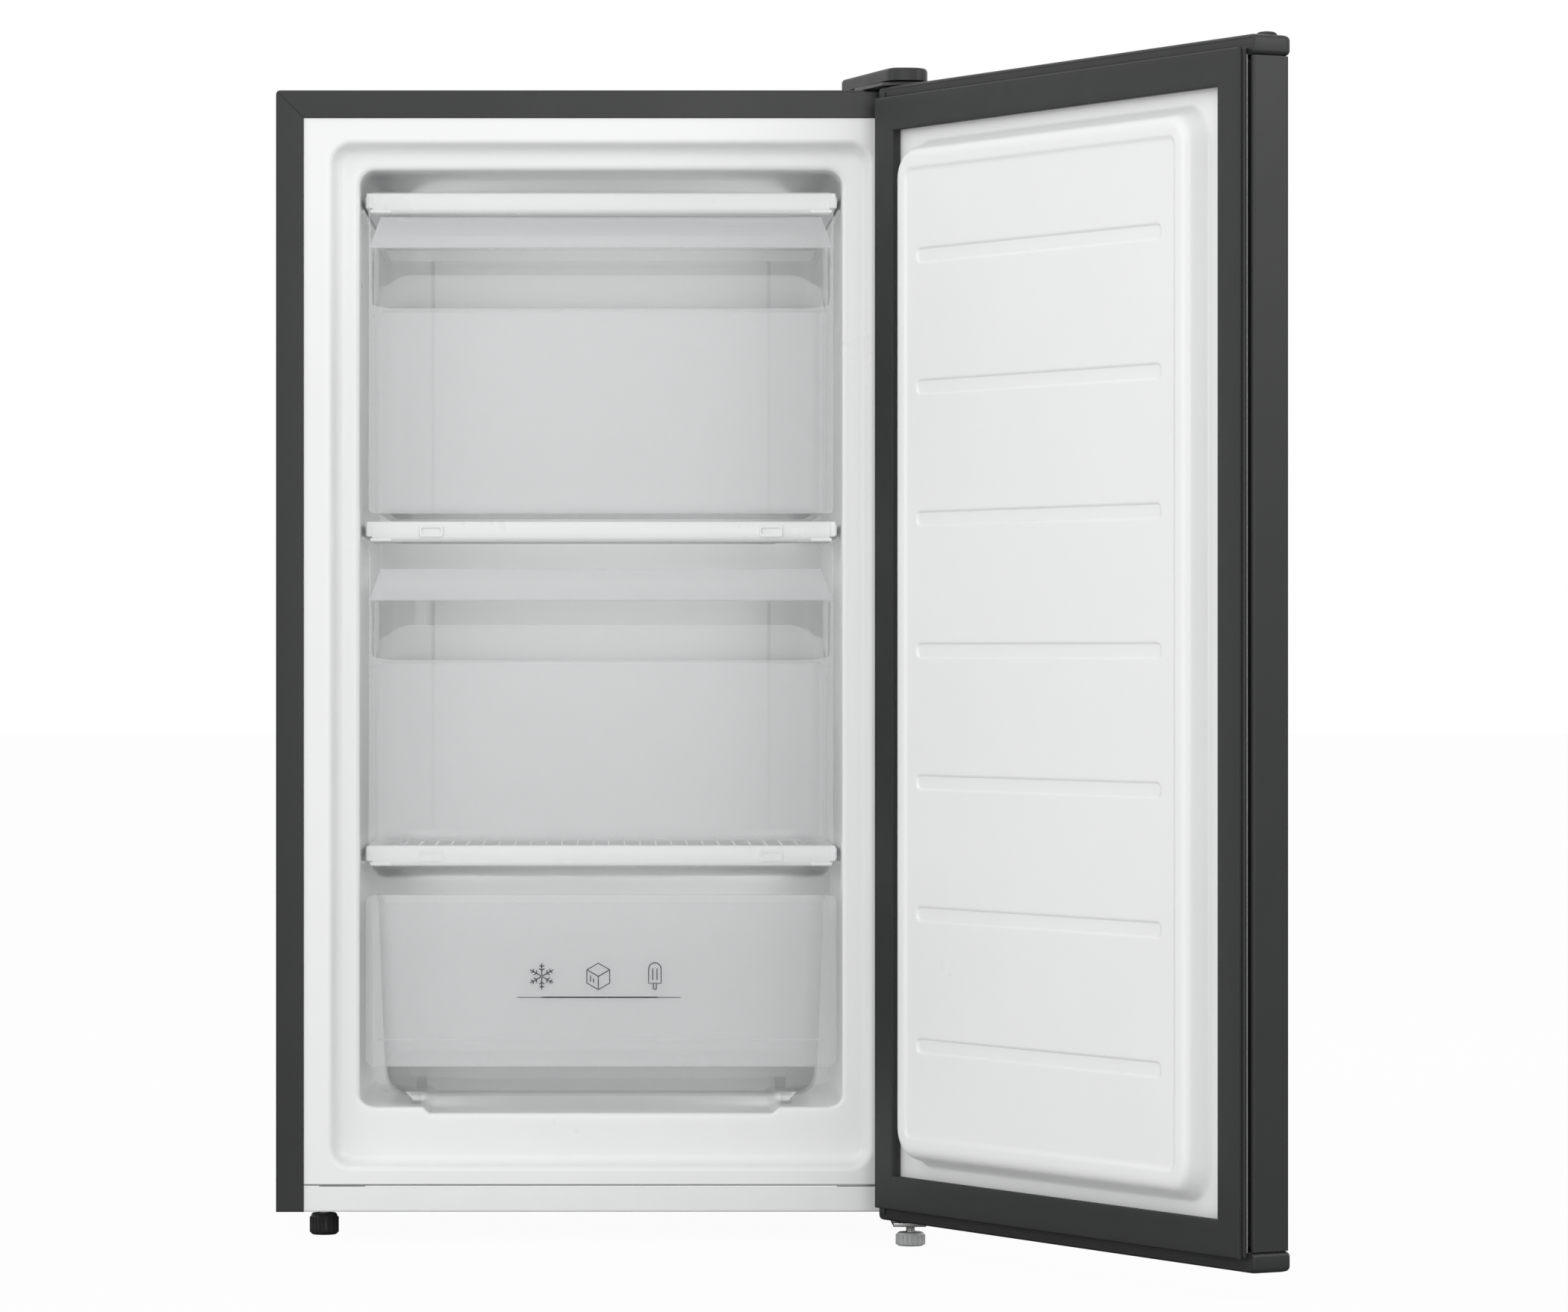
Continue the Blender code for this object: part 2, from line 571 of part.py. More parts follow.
def make_lower_hinge(frame):
    strip = [(-0.040, 0.0145), (0.006, 0.0145), (0.006, 0.0187), (0.070, 0.0187), (0.070, 0.0217),
             (0.003, 0.0217), (0.003, 0.0175), (-0.040, 0.0175)]
    bracket = prism("lower_hinge_bracket", strip, 0.214, 0.238, "steel", frame)
    for index, y in enumerate((0.025, 0.055), start=1):
        cut_hole(bracket, "lower_hole_%d" % index, (0.226, y, 0.0), 0.0025, 0.0, 0.03, frame, 12)
        lathe("lower_hinge_screw_%d" % index, [(0.0025, 0.0155), (0.0044, 0.0165), (0.0046, 0.0184),
              (0.0021, 0.0184), (0.0021, 0.0217)], (0.226, y, 0.0), "steel", frame, sides=12)
    lathe("lower_hinge_pin", [(PIN_R, 0.0178), (PIN_R, 0.0300), (PIN_R - 0.0008, 0.0308)],
          (PIVOT_X, PIVOT_Y, 0.0), "steel", frame, sides=16)


def make_feet(frame):
    """Two screw feet that turn at the front and two fixed blocks at the back."""
    spots = {"right": (PIVOT_X, PIVOT_Y, 0.0100, 0.0142), "left": (-0.207, 0.065, 0.0160, 0.0217)}
    for side, (x, y, knob, top) in spots.items():
        turn = empty(side + "_foot_axis", (x, y, 0.0), frame["empty"])
        foot_frame = {"empty": turn, "origin": (x, y, 0.0)}
        lathe(side + "_front_foot", [(0.0092, 0.0), (0.0102, 0.0010), (0.0108, knob - 0.0012),
              (0.0100, knob), (0.0035, knob), (0.0035, top)], (x, y, 0.0), "grey_plastic",
              foot_frame, sides=24)
    for side, start, end in (("left", -0.225, -0.190), ("right", 0.190, 0.225)):
        box(side + "_rear_foot", (start, end), (0.392, 0.432), (0.0, CAB_BASE - GAP), "black_rubber",
            frame, bevel=0.003, steps=1)


def main():
    clear_scene()
    root = empty("cabinet_frame", (SHIFT_X, SHIFT_Y, 0.0))
    frame = {"empty": root, "origin": (0.0, 0.0, 0.0)}
    make_wrapper(frame)
    make_liner(frame)
    make_foam(frame)
    make_panels(frame)
    for label, low in zip(("top", "middle", "bottom"), SHELF_Z):
        make_shelf(label, low, frame)
        make_trim(label, low, frame)
    make_compressor(frame)
    make_pipes(frame)
    make_controls(frame)
    make_tall_drawer("top_drawer", 0.538, 0.538, frame)
    make_tall_drawer("middle_drawer", 0.277, 0.2945, frame)
    make_low_drawer("bottom_drawer", frame)
    hinge = empty("door_hinge", (PIVOT_X, PIVOT_Y, 0.0), root, DOOR_ANGLE)
    door_frame = {"empty": hinge, "origin": (PIVOT_X, PIVOT_Y, 0.0)}
    make_door(door_frame)
    make_door_ends(door_frame)
    make_top_hinge(frame)
    make_lower_hinge(frame)
    make_feet(frame)


main()
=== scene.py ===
"""The finished look of an under-counter freezer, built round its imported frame.

Measures are in metres in the cabinet's own frame: X from its middle line, Y back from the front
face of its folded edge, Z up from the floor. Door pieces are made shut and then hung open.
"""
import json
import math

import bmesh
import bpy
from mathutils import Matrix, Vector


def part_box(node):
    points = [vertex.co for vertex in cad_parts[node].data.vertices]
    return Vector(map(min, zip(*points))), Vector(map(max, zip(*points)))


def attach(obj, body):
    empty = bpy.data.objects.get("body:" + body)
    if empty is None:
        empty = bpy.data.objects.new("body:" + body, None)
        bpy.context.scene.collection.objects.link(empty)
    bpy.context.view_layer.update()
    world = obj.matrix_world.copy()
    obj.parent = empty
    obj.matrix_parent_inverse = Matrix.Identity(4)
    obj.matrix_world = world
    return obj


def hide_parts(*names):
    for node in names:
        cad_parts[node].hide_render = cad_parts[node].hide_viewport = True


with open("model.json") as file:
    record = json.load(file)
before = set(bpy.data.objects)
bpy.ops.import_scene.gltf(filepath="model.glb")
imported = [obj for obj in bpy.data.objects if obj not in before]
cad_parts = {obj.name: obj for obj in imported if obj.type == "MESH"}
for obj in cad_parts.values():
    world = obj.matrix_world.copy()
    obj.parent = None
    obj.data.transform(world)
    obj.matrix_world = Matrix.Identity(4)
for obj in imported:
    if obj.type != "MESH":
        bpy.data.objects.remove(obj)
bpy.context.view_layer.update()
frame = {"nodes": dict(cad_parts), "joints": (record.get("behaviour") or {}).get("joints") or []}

# ---- where the cabinet stands and how the door hangs -------------------------
WRAP_LOW, WRAP_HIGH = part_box("cabinet_wrapper")
MIDDLE = Vector(((WRAP_LOW.x + WRAP_HIGH.x) / 2.0, WRAP_LOW.y, 0.0))
SWING = next(joint for joint in frame["joints"] if joint["name"] == "door_swing")
PIN = Vector(SWING["pos_m"])
OPEN = -math.radians(SWING["range_deg"][0])
STAND = Matrix.Translation(MIDDLE)
HANG = Matrix.Translation(PIN) @ Matrix.Rotation(OPEN, 4, "Z") @ Matrix.Translation(-PIN) @ STAND

# ---- driving sizes -----------------------------------------------------------
CAB_HALF = 0.240
CAB_TOP = 0.850
CAB_BASE = 0.022
CAB_DEPTH = 0.440
FLANGE = 0.0206
LINER_Y = 0.0011
CAVITY_BACK = 0.380
DOOR_MID = 0.4345
DOOR_TOP = 0.8494
DOOR_BASE = 0.019
CAP_HIGH = 0.014
SKIN_Y = -0.0385
LIP_Y = -0.009
CAP_Y = -0.041
GASKET_FACE = -0.0012
SHELF_FRONT = 0.033
DRAWER_FACE = 0.026
FRONT_HIGH = 0.239
SHELVES = {"top": 0.761, "middle": 0.517, "bottom": 0.276}
SKY = 0.90
KEY = 3.6
FILL = 16.0
FLOOR_BOUNCE = 0.66
FLOOR_GLOSS = 0.10
FLOOR_GLOW = 0.96
POCKET = 0.17
EDGE = 9.0
POCKET_ASIDE = 0.145
POCKETS = ((0.185, 0.655, 0.24, 0.15, POCKET), (0.185, 0.400, 0.24, 0.15, POCKET),
           (0.125, 0.135, 0.14, 0.09, POCKET * 0.32))
GROOVES = (0.7215, 0.6265, 0.5315, 0.4365, 0.3415, 0.2465, 0.1515)


# ---- shader groups -----------------------------------------------------------
def shader_group(name, inputs, outputs):
    """A shader node group with named sockets; returns it with its two end nodes."""
    group = bpy.data.node_groups.new(name, "ShaderNodeTree")
    for label, kind, value in inputs:
        socket = group.interface.new_socket(name=label, in_out="INPUT", socket_type=kind)
        if value is not None:
            socket.default_value = value
    for label, kind in outputs:
        group.interface.new_socket(name=label, in_out="OUTPUT", socket_type=kind)
    return group, group.nodes.new("NodeGroupInput"), group.nodes.new("NodeGroupOutput")


def node(tree, kind, settings=(), links=()):
    """One node with its settings and the sockets that feed it."""
    made = tree.nodes.new(kind)
    for key, value in dict(settings).items():
        if isinstance(key, int) or key in made.inputs:
            made.inputs[key].default_value = value
        else:
            setattr(made, key, value)
    for key, source in dict(links).items():
        tree.links.new(source, made.inputs[key])
    return made


def make_surface_grain():
    """Fine height grain at one size, and slow patches at another."""
    group, start, end = shader_group(
        "surface_grain",
        [("Vector", "NodeSocketVector", None), ("Grain Size", "NodeSocketFloat", 0.001),
         ("Patch Size", "NodeSocketFloat", 0.05)],
        [("Height", "NodeSocketFloat"), ("Patch", "NodeSocketFloat")])
    fine = node(group, "ShaderNodeMath", {"operation": "DIVIDE", 0: 1.0}, {1: start.outputs["Grain Size"]})
    broad = node(group, "ShaderNodeMath", {"operation": "DIVIDE", 0: 1.0},
                 {1: start.outputs["Patch Size"]})
    grain = node(group, "ShaderNodeTexNoise", {"Detail": 3.0, "Roughness": 0.55},
                 {"Vector": start.outputs["Vector"], "Scale": fine.outputs[0]})
    patch = node(group, "ShaderNodeTexNoise", {"Detail": 4.0, "Roughness": 0.6, "Distortion": 0.4},
                 {"Vector": start.outputs["Vector"], "Scale": broad.outputs[0]})
    spread = node(group, "ShaderNodeMapRange", {"From Min": 0.32, "From Max": 0.68},
                  {"Value": patch.outputs["Fac"]})
    group.links.new(grain.outputs["Fac"], end.inputs["Height"])
    group.links.new(spread.outputs["Result"], end.inputs["Patch"])
    return group


def make_orange_peel():
    """The soft dimples of a sprayed or powder-coated skin."""
    group, start, end = shader_group(
        "orange_peel",
        [("Vector", "NodeSocketVector", None), ("Dimple Size", "NodeSocketFloat", 0.0012)],
        [("Height", "NodeSocketFloat")])
    scale = node(group, "ShaderNodeMath", {"operation": "DIVIDE", 0: 1.0},
                 {1: start.outputs["Dimple Size"]})
    cells = node(group, "ShaderNodeTexVoronoi", {"feature": "SMOOTH_F1", "Smoothness": 0.8},
                 {"Vector": start.outputs["Vector"], "Scale": scale.outputs[0]})
    cloud = node(group, "ShaderNodeTexNoise", {"Detail": 2.0},
                 {"Vector": start.outputs["Vector"], "Scale": scale.outputs[0]})
    both = node(group, "ShaderNodeMath", {"operation": "MULTIPLY_ADD", 1: 0.6},
                {0: cells.outputs["Distance"], 2: cloud.outputs["Fac"]})
    group.links.new(both.outputs[0], end.inputs["Height"])
    return group


def make_settled_dust():
    """A thin veil on faces that look up, broken by noise."""
    group, start, end = shader_group(
        "settled_dust",
        [("Vector", "NodeSocketVector", None), ("Amount", "NodeSocketFloat", 0.2),
         ("Clump Size", "NodeSocketFloat", 0.02)],
        [("Mask", "NodeSocketFloat")])
    facing = node(group, "ShaderNodeNewGeometry")
    parts = node(group, "ShaderNodeSeparateXYZ", {}, {0: facing.outputs["Normal"]})
    up = node(group, "ShaderNodeMapRange", {"From Min": 0.3, "From Max": 1.0},
              {"Value": parts.outputs["Z"]})
    scale = node(group, "ShaderNodeMath", {"operation": "DIVIDE", 0: 1.0},
                 {1: start.outputs["Clump Size"]})
    clump = node(group, "ShaderNodeTexNoise", {"Detail": 5.0, "Roughness": 0.65},
                 {"Vector": start.outputs["Vector"], "Scale": scale.outputs[0]})
    broken = node(group, "ShaderNodeMapRange", {"From Min": 0.35, "From Max": 0.7},
                  {"Value": clump.outputs["Fac"]})
    both = node(group, "ShaderNodeMath", {"operation": "MULTIPLY"},
                {0: up.outputs["Result"], 1: broken.outputs["Result"]})
    much = node(group, "ShaderNodeMath", {"operation": "MULTIPLY", "use_clamp": True},
                {0: both.outputs[0], 1: start.outputs["Amount"]})
    group.links.new(much.outputs[0], end.inputs["Mask"])
    return group


def make_drawn_lines():
    """Long fine lines along one direction, as rolled sheet and drawn tube have."""
    group, start, end = shader_group(
        "drawn_lines",
        [("Vector", "NodeSocketVector", None), ("Stretch", "NodeSocketVector", (900.0, 900.0, 30.0))],
        [("Lines", "NodeSocketFloat")])
    pulled = node(group, "ShaderNodeVectorMath", {"operation": "MULTIPLY"},
                  {0: start.outputs["Vector"], 1: start.outputs["Stretch"]})
    lines = node(group, "ShaderNodeTexNoise", {"Scale": 1.0, "Detail": 4.0, "Roughness": 0.7},
                 {"Vector": pulled.outputs[0]})
    group.links.new(lines.outputs["Fac"], end.inputs["Lines"])
    return group


GRAIN = make_surface_grain()
PEEL = make_orange_peel()
DUST = make_settled_dust()
LINES = make_drawn_lines()


def place_group(tree, group, settings, vector):
    """One of the shared groups, placed in a material with its own values."""
    made = tree.nodes.new("ShaderNodeGroup")
    made.node_tree = group
    for key, value in settings.items():
        made.inputs[key].default_value = value
    tree.links.new(vector, made.inputs["Vector"])
    return made


def finish(name, colour, rough, grain=0.0006, patch=0.06, depth=0.00001, shift=0.04, peel=0.0,
           dust=0.0, lines=None, tone=0.93, lets_light=None, **plain):
    """A finish: a base colour in two close tones, roughness in patches and fine relief.
    lets_light is a thin plastic's opacity to the light that passes on into the cabinet."""
    made = bpy.data.materials.new(name)
    made.use_nodes = True
    tree = made.node_tree
    tree.nodes.clear()
    out = tree.nodes.new("ShaderNodeOutputMaterial")
    skin = tree.nodes.new("ShaderNodeBsdfPrincipled")
    tree.links.new(skin.outputs["BSDF"], out.inputs["Surface"])
    for key, value in plain.items():
        skin.inputs[key.replace("_", " ")].default_value = value
    vector = tree.nodes.new("ShaderNodeTexCoord").outputs["Object"]
    grained = place_group(tree, GRAIN, {"Grain Size": grain, "Patch Size": patch}, vector)
    two = node(tree, "ShaderNodeMix", {"data_type": "RGBA"}, {0: grained.outputs["Patch"]})
    two.inputs[6].default_value = (*(c * tone for c in colour), 1.0)
    two.inputs[7].default_value = (*colour, 1.0)
    shown = two.outputs[2]
    if dust:
        veil = place_group(tree, DUST, {"Amount": dust}, vector)
        dusty = node(tree, "ShaderNodeMix", {"data_type": "RGBA"}, {0: veil.outputs["Mask"], 6: shown})
        dusty.inputs[7].default_value = (0.42, 0.41, 0.39, 1.0)
        shown = dusty.outputs[2]
    tree.links.new(shown, skin.inputs["Base Color"])
    roughness = node(tree, "ShaderNodeMapRange", {"To Min": rough - shift, "To Max": rough + shift},
                     {"Value": grained.outputs["Patch"]})
    worn = roughness.outputs["Result"]
    height = grained.outputs["Height"]
    if lines:
        drawn = place_group(tree, LINES, {"Stretch": lines}, vector)
        streak = node(tree, "ShaderNodeMath", {"operation": "MULTIPLY_ADD", 1: 0.14, 2: -0.07},
                      {0: drawn.outputs["Lines"]})
        mixed = node(tree, "ShaderNodeMath", {"operation": "ADD", "use_clamp": True},
                     {0: worn, 1: streak.outputs[0]})
        worn = mixed.outputs[0]
        height = drawn.outputs["Lines"]
    if peel:
        dimples = place_group(tree, PEEL, {"Dimple Size": peel}, vector)
        height = dimples.outputs["Height"]
    tree.links.new(worn, skin.inputs["Roughness"])
    relief = node(tree, "ShaderNodeBump", {"Strength": 1.0, "Distance": depth}, {"Height": height})
    tree.links.new(relief.outputs["Normal"], skin.inputs["Normal"])
    if lets_light is not None:
        path = tree.nodes.new("ShaderNodeLightPath")
        thin = node(tree, "ShaderNodeMapRange", {"To Min": lets_light, "To Max": plain["Alpha"]},
                    {"Value": path.outputs["Is Camera Ray"]})
        tree.links.new(thin.outputs["Result"], skin.inputs["Alpha"])
    return made


CHARCOAL = finish("charcoal_paint", (0.0275, 0.0283, 0.0292), 0.40, patch=0.09, depth=0.000012,
                  peel=0.0011, dust=0.05, tone=0.95, Specular_IOR_Level=0.42)
CHARCOAL_MOULDED = finish("charcoal_moulding", (0.0265, 0.0272, 0.0282), 0.43, grain=0.0005,
                          depth=0.000018, dust=0.05, Specular_IOR_Level=0.42)
SEAL = finish("seal_vinyl", (0.0285, 0.0292, 0.030), 0.50, grain=0.0008, patch=0.03, depth=0.00001,
              Specular_IOR_Level=0.4)
WHITE = finish("white_liner", (0.872, 0.878, 0.875), 0.32, grain=0.0016, patch=0.14, depth=0.000006,
               shift=0.05, dust=0.03, tone=0.985, Specular_IOR_Level=0.4)
WHITE_TRIM = finish("white_moulding", (0.815, 0.82, 0.82), 0.30, grain=0.0007, patch=0.05,
                    depth=0.000006, tone=0.985)
WHITE_PAINT = finish("white_paint", (0.855, 0.86, 0.86), 0.34, patch=0.08, depth=0.000010, peel=0.0013,
                     dust=0.03, tone=0.98)
FROSTED = finish("frosted_polystyrene", (0.80, 0.815, 0.82), 0.38, grain=0.0007, patch=0.07,
                 depth=0.000003, tone=0.98, lets_light=0.02, Alpha=0.27)
HAZED = finish("hazed_polystyrene", (0.82, 0.84, 0.845), 0.30, grain=0.0007, patch=0.07,
               depth=0.000003, tone=0.98, lets_light=0.015, Alpha=0.22)
CLEAR = finish("clear_polystyrene", (0.86, 0.885, 0.895), 0.10, grain=0.004, patch=0.05,
               depth=0.000003, shift=0.03, tone=0.985, lets_light=0.01, Alpha=0.10)
# The pull's grey, darker than the frosted plastic it is moulded from, is painted shade for its down-slanting
# face.
SHADED_PULL = finish("frosted_pull_painted_shade", (0.66, 0.675, 0.68), 0.36, grain=0.0007, patch=0.07, depth=0.000002,
              tone=0.985, lets_light=0.03, Alpha=0.42)
INK = finish("printed_ink", (0.045, 0.047, 0.05), 0.5, grain=0.0003, patch=0.01, depth=0.000003,
             tone=0.9)
FOAM = finish("blown_foam", (0.80, 0.70, 0.46), 0.9, grain=0.0022, patch=0.03, depth=0.0004, tone=0.9)
ZINC = finish("zinc_sheet", (0.56, 0.575, 0.59), 0.42, grain=0.004, patch=0.018, depth=0.000008,
              shift=0.09, dust=0.25, tone=0.8, Metallic=1.0)
BLACKED = finish("blackened_steel", (0.055, 0.056, 0.058), 0.40, grain=0.0006, patch=0.01,
                 depth=0.000006, dust=0.05)
PLATED = finish("plated_steel", (0.66, 0.66, 0.65), 0.27, grain=0.0006, patch=0.01, depth=0.000006,
                lines=(60.0, 700.0, 700.0), Metallic=1.0)
ENAMEL = finish("black_enamel", (0.016, 0.016, 0.017), 0.33, patch=0.04, depth=0.000014, peel=0.0018,
                dust=0.22)
RUBBER = finish("black_rubber", (0.024, 0.024, 0.025), 0.7, grain=0.0005, patch=0.02, depth=0.00003,
                dust=0.2, Specular_IOR_Level=0.3)
COPPER = finish("drawn_copper", (0.70, 0.36, 0.22), 0.32, grain=0.002, patch=0.012, depth=0.000006,
                shift=0.10, dust=0.12, tone=0.7, Metallic=1.0)
TUBE = finish("aluminium_tube", (0.76, 0.77, 0.78), 0.36, grain=0.001, patch=0.02, depth=0.000006,
              lines=(40.0, 900.0, 900.0), Metallic=1.0)
WIRE = finish("coated_wire", (0.80, 0.81, 0.82), 0.35, grain=0.001, patch=0.02, depth=0.00001)
PALE_GREY = finish("pale_grey_moulding", (0.50, 0.505, 0.51), 0.40, grain=0.0006, patch=0.02,
                   depth=0.00001, dust=0.05)
GREY = finish("grey_moulding", (0.25, 0.255, 0.262), 0.48, grain=0.0006, patch=0.02, depth=0.00002,
              dust=0.12)


# ---- making meshes -----------------------------------------------------------
class Stock:
    """Points, faces and finish numbers gathered for one piece."""

    def __init__(self):
        self.points = []
        self.faces = []
        self.kinds = []

    def add(self, points, faces, kind=0):
        start = len(self.points)
        self.points.extend(Vector(p) for p in points)
        self.faces.extend(tuple(start + i for i in face) for face in faces)
        self.kinds.extend([kind] * len(faces))

    def loft(self, loops, kind=0, ring=False, closed=True):
        """Bridges loops of equal count; ring joins the last loop back to the first."""
        count = len(loops[0])
        rows = len(loops)
        faces = []
        for row in range(rows if ring else rows - 1):
            a = row * count
            b = ((row + 1) % rows) * count
            for i in range(count if closed else count - 1):
                j = (i + 1) % count
                faces.append((a + i, a + j, b + j, b + i))
        if closed and not ring:
            faces.append(tuple(reversed(range(count))))
            faces.append(tuple((rows - 1) * count + i for i in range(count)))
        self.add([p for loop in loops for p in loop], faces, kind)

    def block(self, x, y, z, radius=0.0004, steps=2, kind=0):
        """A block with its edges rounded."""
        work = bmesh.new()
        bmesh.ops.create_cube(work, size=1.0)
        for v in work.verts:
            v.co = Vector((x[0] + (v.co.x + 0.5) * (x[1] - x[0]), y[0] + (v.co.y + 0.5) * (y[1] - y[0]),
                           z[0] + (v.co.z + 0.5) * (z[1] - z[0])))
        if radius:
            bmesh.ops.bevel(work, geom=work.edges, offset=radius, segments=steps, profile=0.5,
                            affect="EDGES", clamp_overlap=True)
        self.take(work, kind)
        work.free()

    def take(self, work, kind=0):
        """Adds the faces of a mesh being worked on."""
        work.verts.index_update()
        self.add([v.co.copy() for v in work.verts], [[v.index for v in f.verts] for f in work.faces], kind)

    def turned(self, profile, centre, axis="Z", sides=32, kind=0):
        """A closed turning from (radius, height) pairs about an axis through centre."""
        loops = []
        for radius, height in profile:
            loop = []
            for k in range(sides):
                t = 2.0 * math.pi * k / sides
                a, b = radius * math.cos(t), radius * math.sin(t)
                if axis == "Z":
                    loop.append(Vector(centre) + Vector((a, b, height)))
                elif axis == "Y":
                    loop.append(Vector(centre) + Vector((a, height, b)))
                else:
                    loop.append(Vector(centre) + Vector((height, a, b)))
            loops.append(loop)
        self.loft(loops, kind)

    def rod(self, path, radius, sides=8, kind=0, shut=False):
        """A round rod along points, with flat ends."""
        loops = []
        count = len(path)
        side = None
        for i, point in enumerate(path):
            before = path[i - 1] if (i or shut) else path[i]
            after = path[(i + 1) % count] if (i < count - 1 or shut) else path[i]
            run = (Vector(after) - Vector(before)).normalized()
            if side is None:
                side = run.cross(Vector((0, 0, 1)) if abs(run.z) < 0.9 else Vector((0, 1, 0)))
            side = (side - run * side.dot(run)).normalized()
            up = run.cross(side)
            loops.append([Vector(point) + side * radius * math.cos(2 * math.pi * k / sides)
                          + up * radius * math.sin(2 * math.pi * k / sides) for k in range(sides)])
        self.loft(loops, kind, ring=shut)


def even_normals(mesh, limit):
    """Keeps big flat faces flat in shading while the fillets between them turn smoothly."""
    mesh.shade_smooth()
    near = math.cos(math.radians(limit))
    facing = [(p.normal.copy(), p.area) for p in mesh.polygons]
    around = [[] for _ in mesh.vertices]
    for p in mesh.polygons:
        for v in p.vertices:
            around[v].append(p.index)
    normals = []
    for p in mesh.polygons:
        own = facing[p.index][0]
        for v in p.vertices:
            total = Vector()
            for i in around[v]:
                if facing[i][0].dot(own) > near:
                    total += facing[i][0] * facing[i][1]
            normals.append(total.normalized() if total.length > 1e-12 else own)
    mesh.normals_split_custom_set(normals)


def make(name, stock, finishes, body, nodes=(), place=STAND, smooth=36.0, bevel=0.0, steps=2):
    """Turns stock into a finished piece that rides on a body and stands for its CAD nodes."""
    finishes = finishes if isinstance(finishes, (list, tuple)) else [finishes]
    work = bmesh.new()
    corners = [work.verts.new(place @ p) for p in stock.points]
    for face, kind in zip(stock.faces, stock.kinds):
        try:
            work.faces.new([corners[i] for i in face]).material_index = kind
        except ValueError:
            continue
    bmesh.ops.remove_doubles(work, verts=work.verts, dist=2e-6)
    bmesh.ops.dissolve_degenerate(work, edges=work.edges, dist=1e-6)
    bmesh.ops.recalc_face_normals(work, faces=work.faces)
    if bevel:
        sharp = [e for e in work.edges
                 if len(e.link_faces) == 2 and e.calc_face_angle(0.0) > math.radians(smooth)]
        bmesh.ops.bevel(work, geom=sharp, offset=bevel, segments=steps, profile=0.5,
                        affect="EDGES", clamp_overlap=True)
    mesh = bpy.data.meshes.new(name)
    work.to_mesh(mesh)
    work.free()
    for one in finishes:
        mesh.materials.append(one)
    even_normals(mesh, smooth)
    return settle(name, mesh, body, nodes)


def settle(name, mesh, body, nodes=()):
    """Links a finished mesh, hangs it on its body and hides the CAD nodes it stands for."""
    piece = bpy.data.objects.new(name, mesh)
    bpy.context.scene.collection.objects.link(piece)
    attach(piece, body)
    if nodes:
        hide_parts(*nodes)
    return piece


def soften(name, cad_name, finish_used, body, bevel=0.0005, steps=2):
    """A CAD node's own shape with its edges broken, for pieces whose outline is already right."""
    source = frame["nodes"][cad_name]
    work = bmesh.new()
    work.from_mesh(source.data)
    bmesh.ops.remove_doubles(work, verts=work.verts, dist=1e-5)
    bmesh.ops.dissolve_limit(work, angle_limit=math.radians(1.0), verts=work.verts, edges=work.edges)
    stock = Stock()
    stock.take(work)
    work.free()
    stock.points = [p - MIDDLE for p in stock.points]
    return make(name, stock, finish_used, body, [cad_name], bevel=bevel, steps=steps)


def frame_loop(half, low, high, radius, y, xs=(), zs=(), steps=6):
    """Points round an upright rounded rectangle from its lower left corner, anticlockwise from
    the front. xs and zs are stations kept on its straight sides."""
    points = []
    corners = ((-half, low, 180.0), (half, low, 270.0), (half, high, 0.0), (-half, high, 90.0))
    sides = ([Vector((x, y, low)) for x in xs], [Vector((half, y, z)) for z in zs],
             [Vector((x, y, high)) for x in reversed(xs)], [Vector((-half, y, z)) for z in reversed(zs)])
    for (cx, cz, start), side in zip(corners, sides):
        mx = cx - math.copysign(radius, cx)
        mz = cz + (radius if cz == low else -radius)
        for step in range(steps + 1):
            angle = math.radians(start + 90.0 * step / steps)
            points.append(Vector((mx + radius * math.cos(angle), y, mz + radius * math.sin(angle))))
        points.extend(side)
    return points


def sweep_frame(stock, profile, half, low, high, seam=0.0003, sink=0.0004, front=None, kind=0):
    """A closed profile of (inset, y) points swept round a rectangle, with a fine seam at each
    mitre: points on the front side sink there."""
    loops = []
    corners = ((-1, -1, (0, -1), (1, 0)), (1, -1, (1, 0), (0, 1)), (1, 1, (0, 1), (-1, 0)),
               (-1, 1, (-1, 0), (0, -1)))
    for sx, sz, coming, going in corners:
        for step in (-1, 0, 1):
            loop = []
            for inset, y in profile:
                x = sx * (half - inset)
                z = high - inset if sz > 0 else low + inset
                if step < 0:
                    x, z = x - coming[0] * seam, z - coming[1] * seam
                if step > 0:
                    x, z = x + going[0] * seam, z + going[1] * seam
                drop = sink if step == 0 and front is not None and abs(y - front) < 0.0006 else 0.0
                loop.append(Vector((x, y - drop, z)))
            loops.append(loop)
    stock.loft(loops, kind, ring=True)


def smoothstep(low, high, value):
    t = min(max((value - low) / (high - low), 0.0), 1.0)
    return t * t * (3.0 - 2.0 * t)


# ---- repeats made by Geometry Nodes ------------------------------------------
def repeat_tree(name, inputs):
    """A Geometry Nodes tree with named inputs; returns it with its two end nodes."""
    group = bpy.data.node_groups.new(name, "GeometryNodeTree")
    group.interface.new_socket(name="Geometry", in_out="OUTPUT", socket_type="NodeSocketGeometry")
    for label, kind, value in inputs:
        socket = group.interface.new_socket(name=label, in_out="INPUT", socket_type=kind)
        if value is not None:
            socket.default_value = value
    return group, group.nodes.new("NodeGroupInput"), group.nodes.new("NodeGroupOutput")


def close_tree(group, start, end, instances):
    """Every tree ends by realising its instances and giving them their finish."""
    real = node(group, "GeometryNodeRealizeInstances", {}, {0: instances})
    dressed = node(group, "GeometryNodeSetMaterial", {},
                   {"Geometry": real.outputs[0], "Material": start.outputs["Finish"]})
    group.links.new(dressed.outputs[0], end.inputs[0])


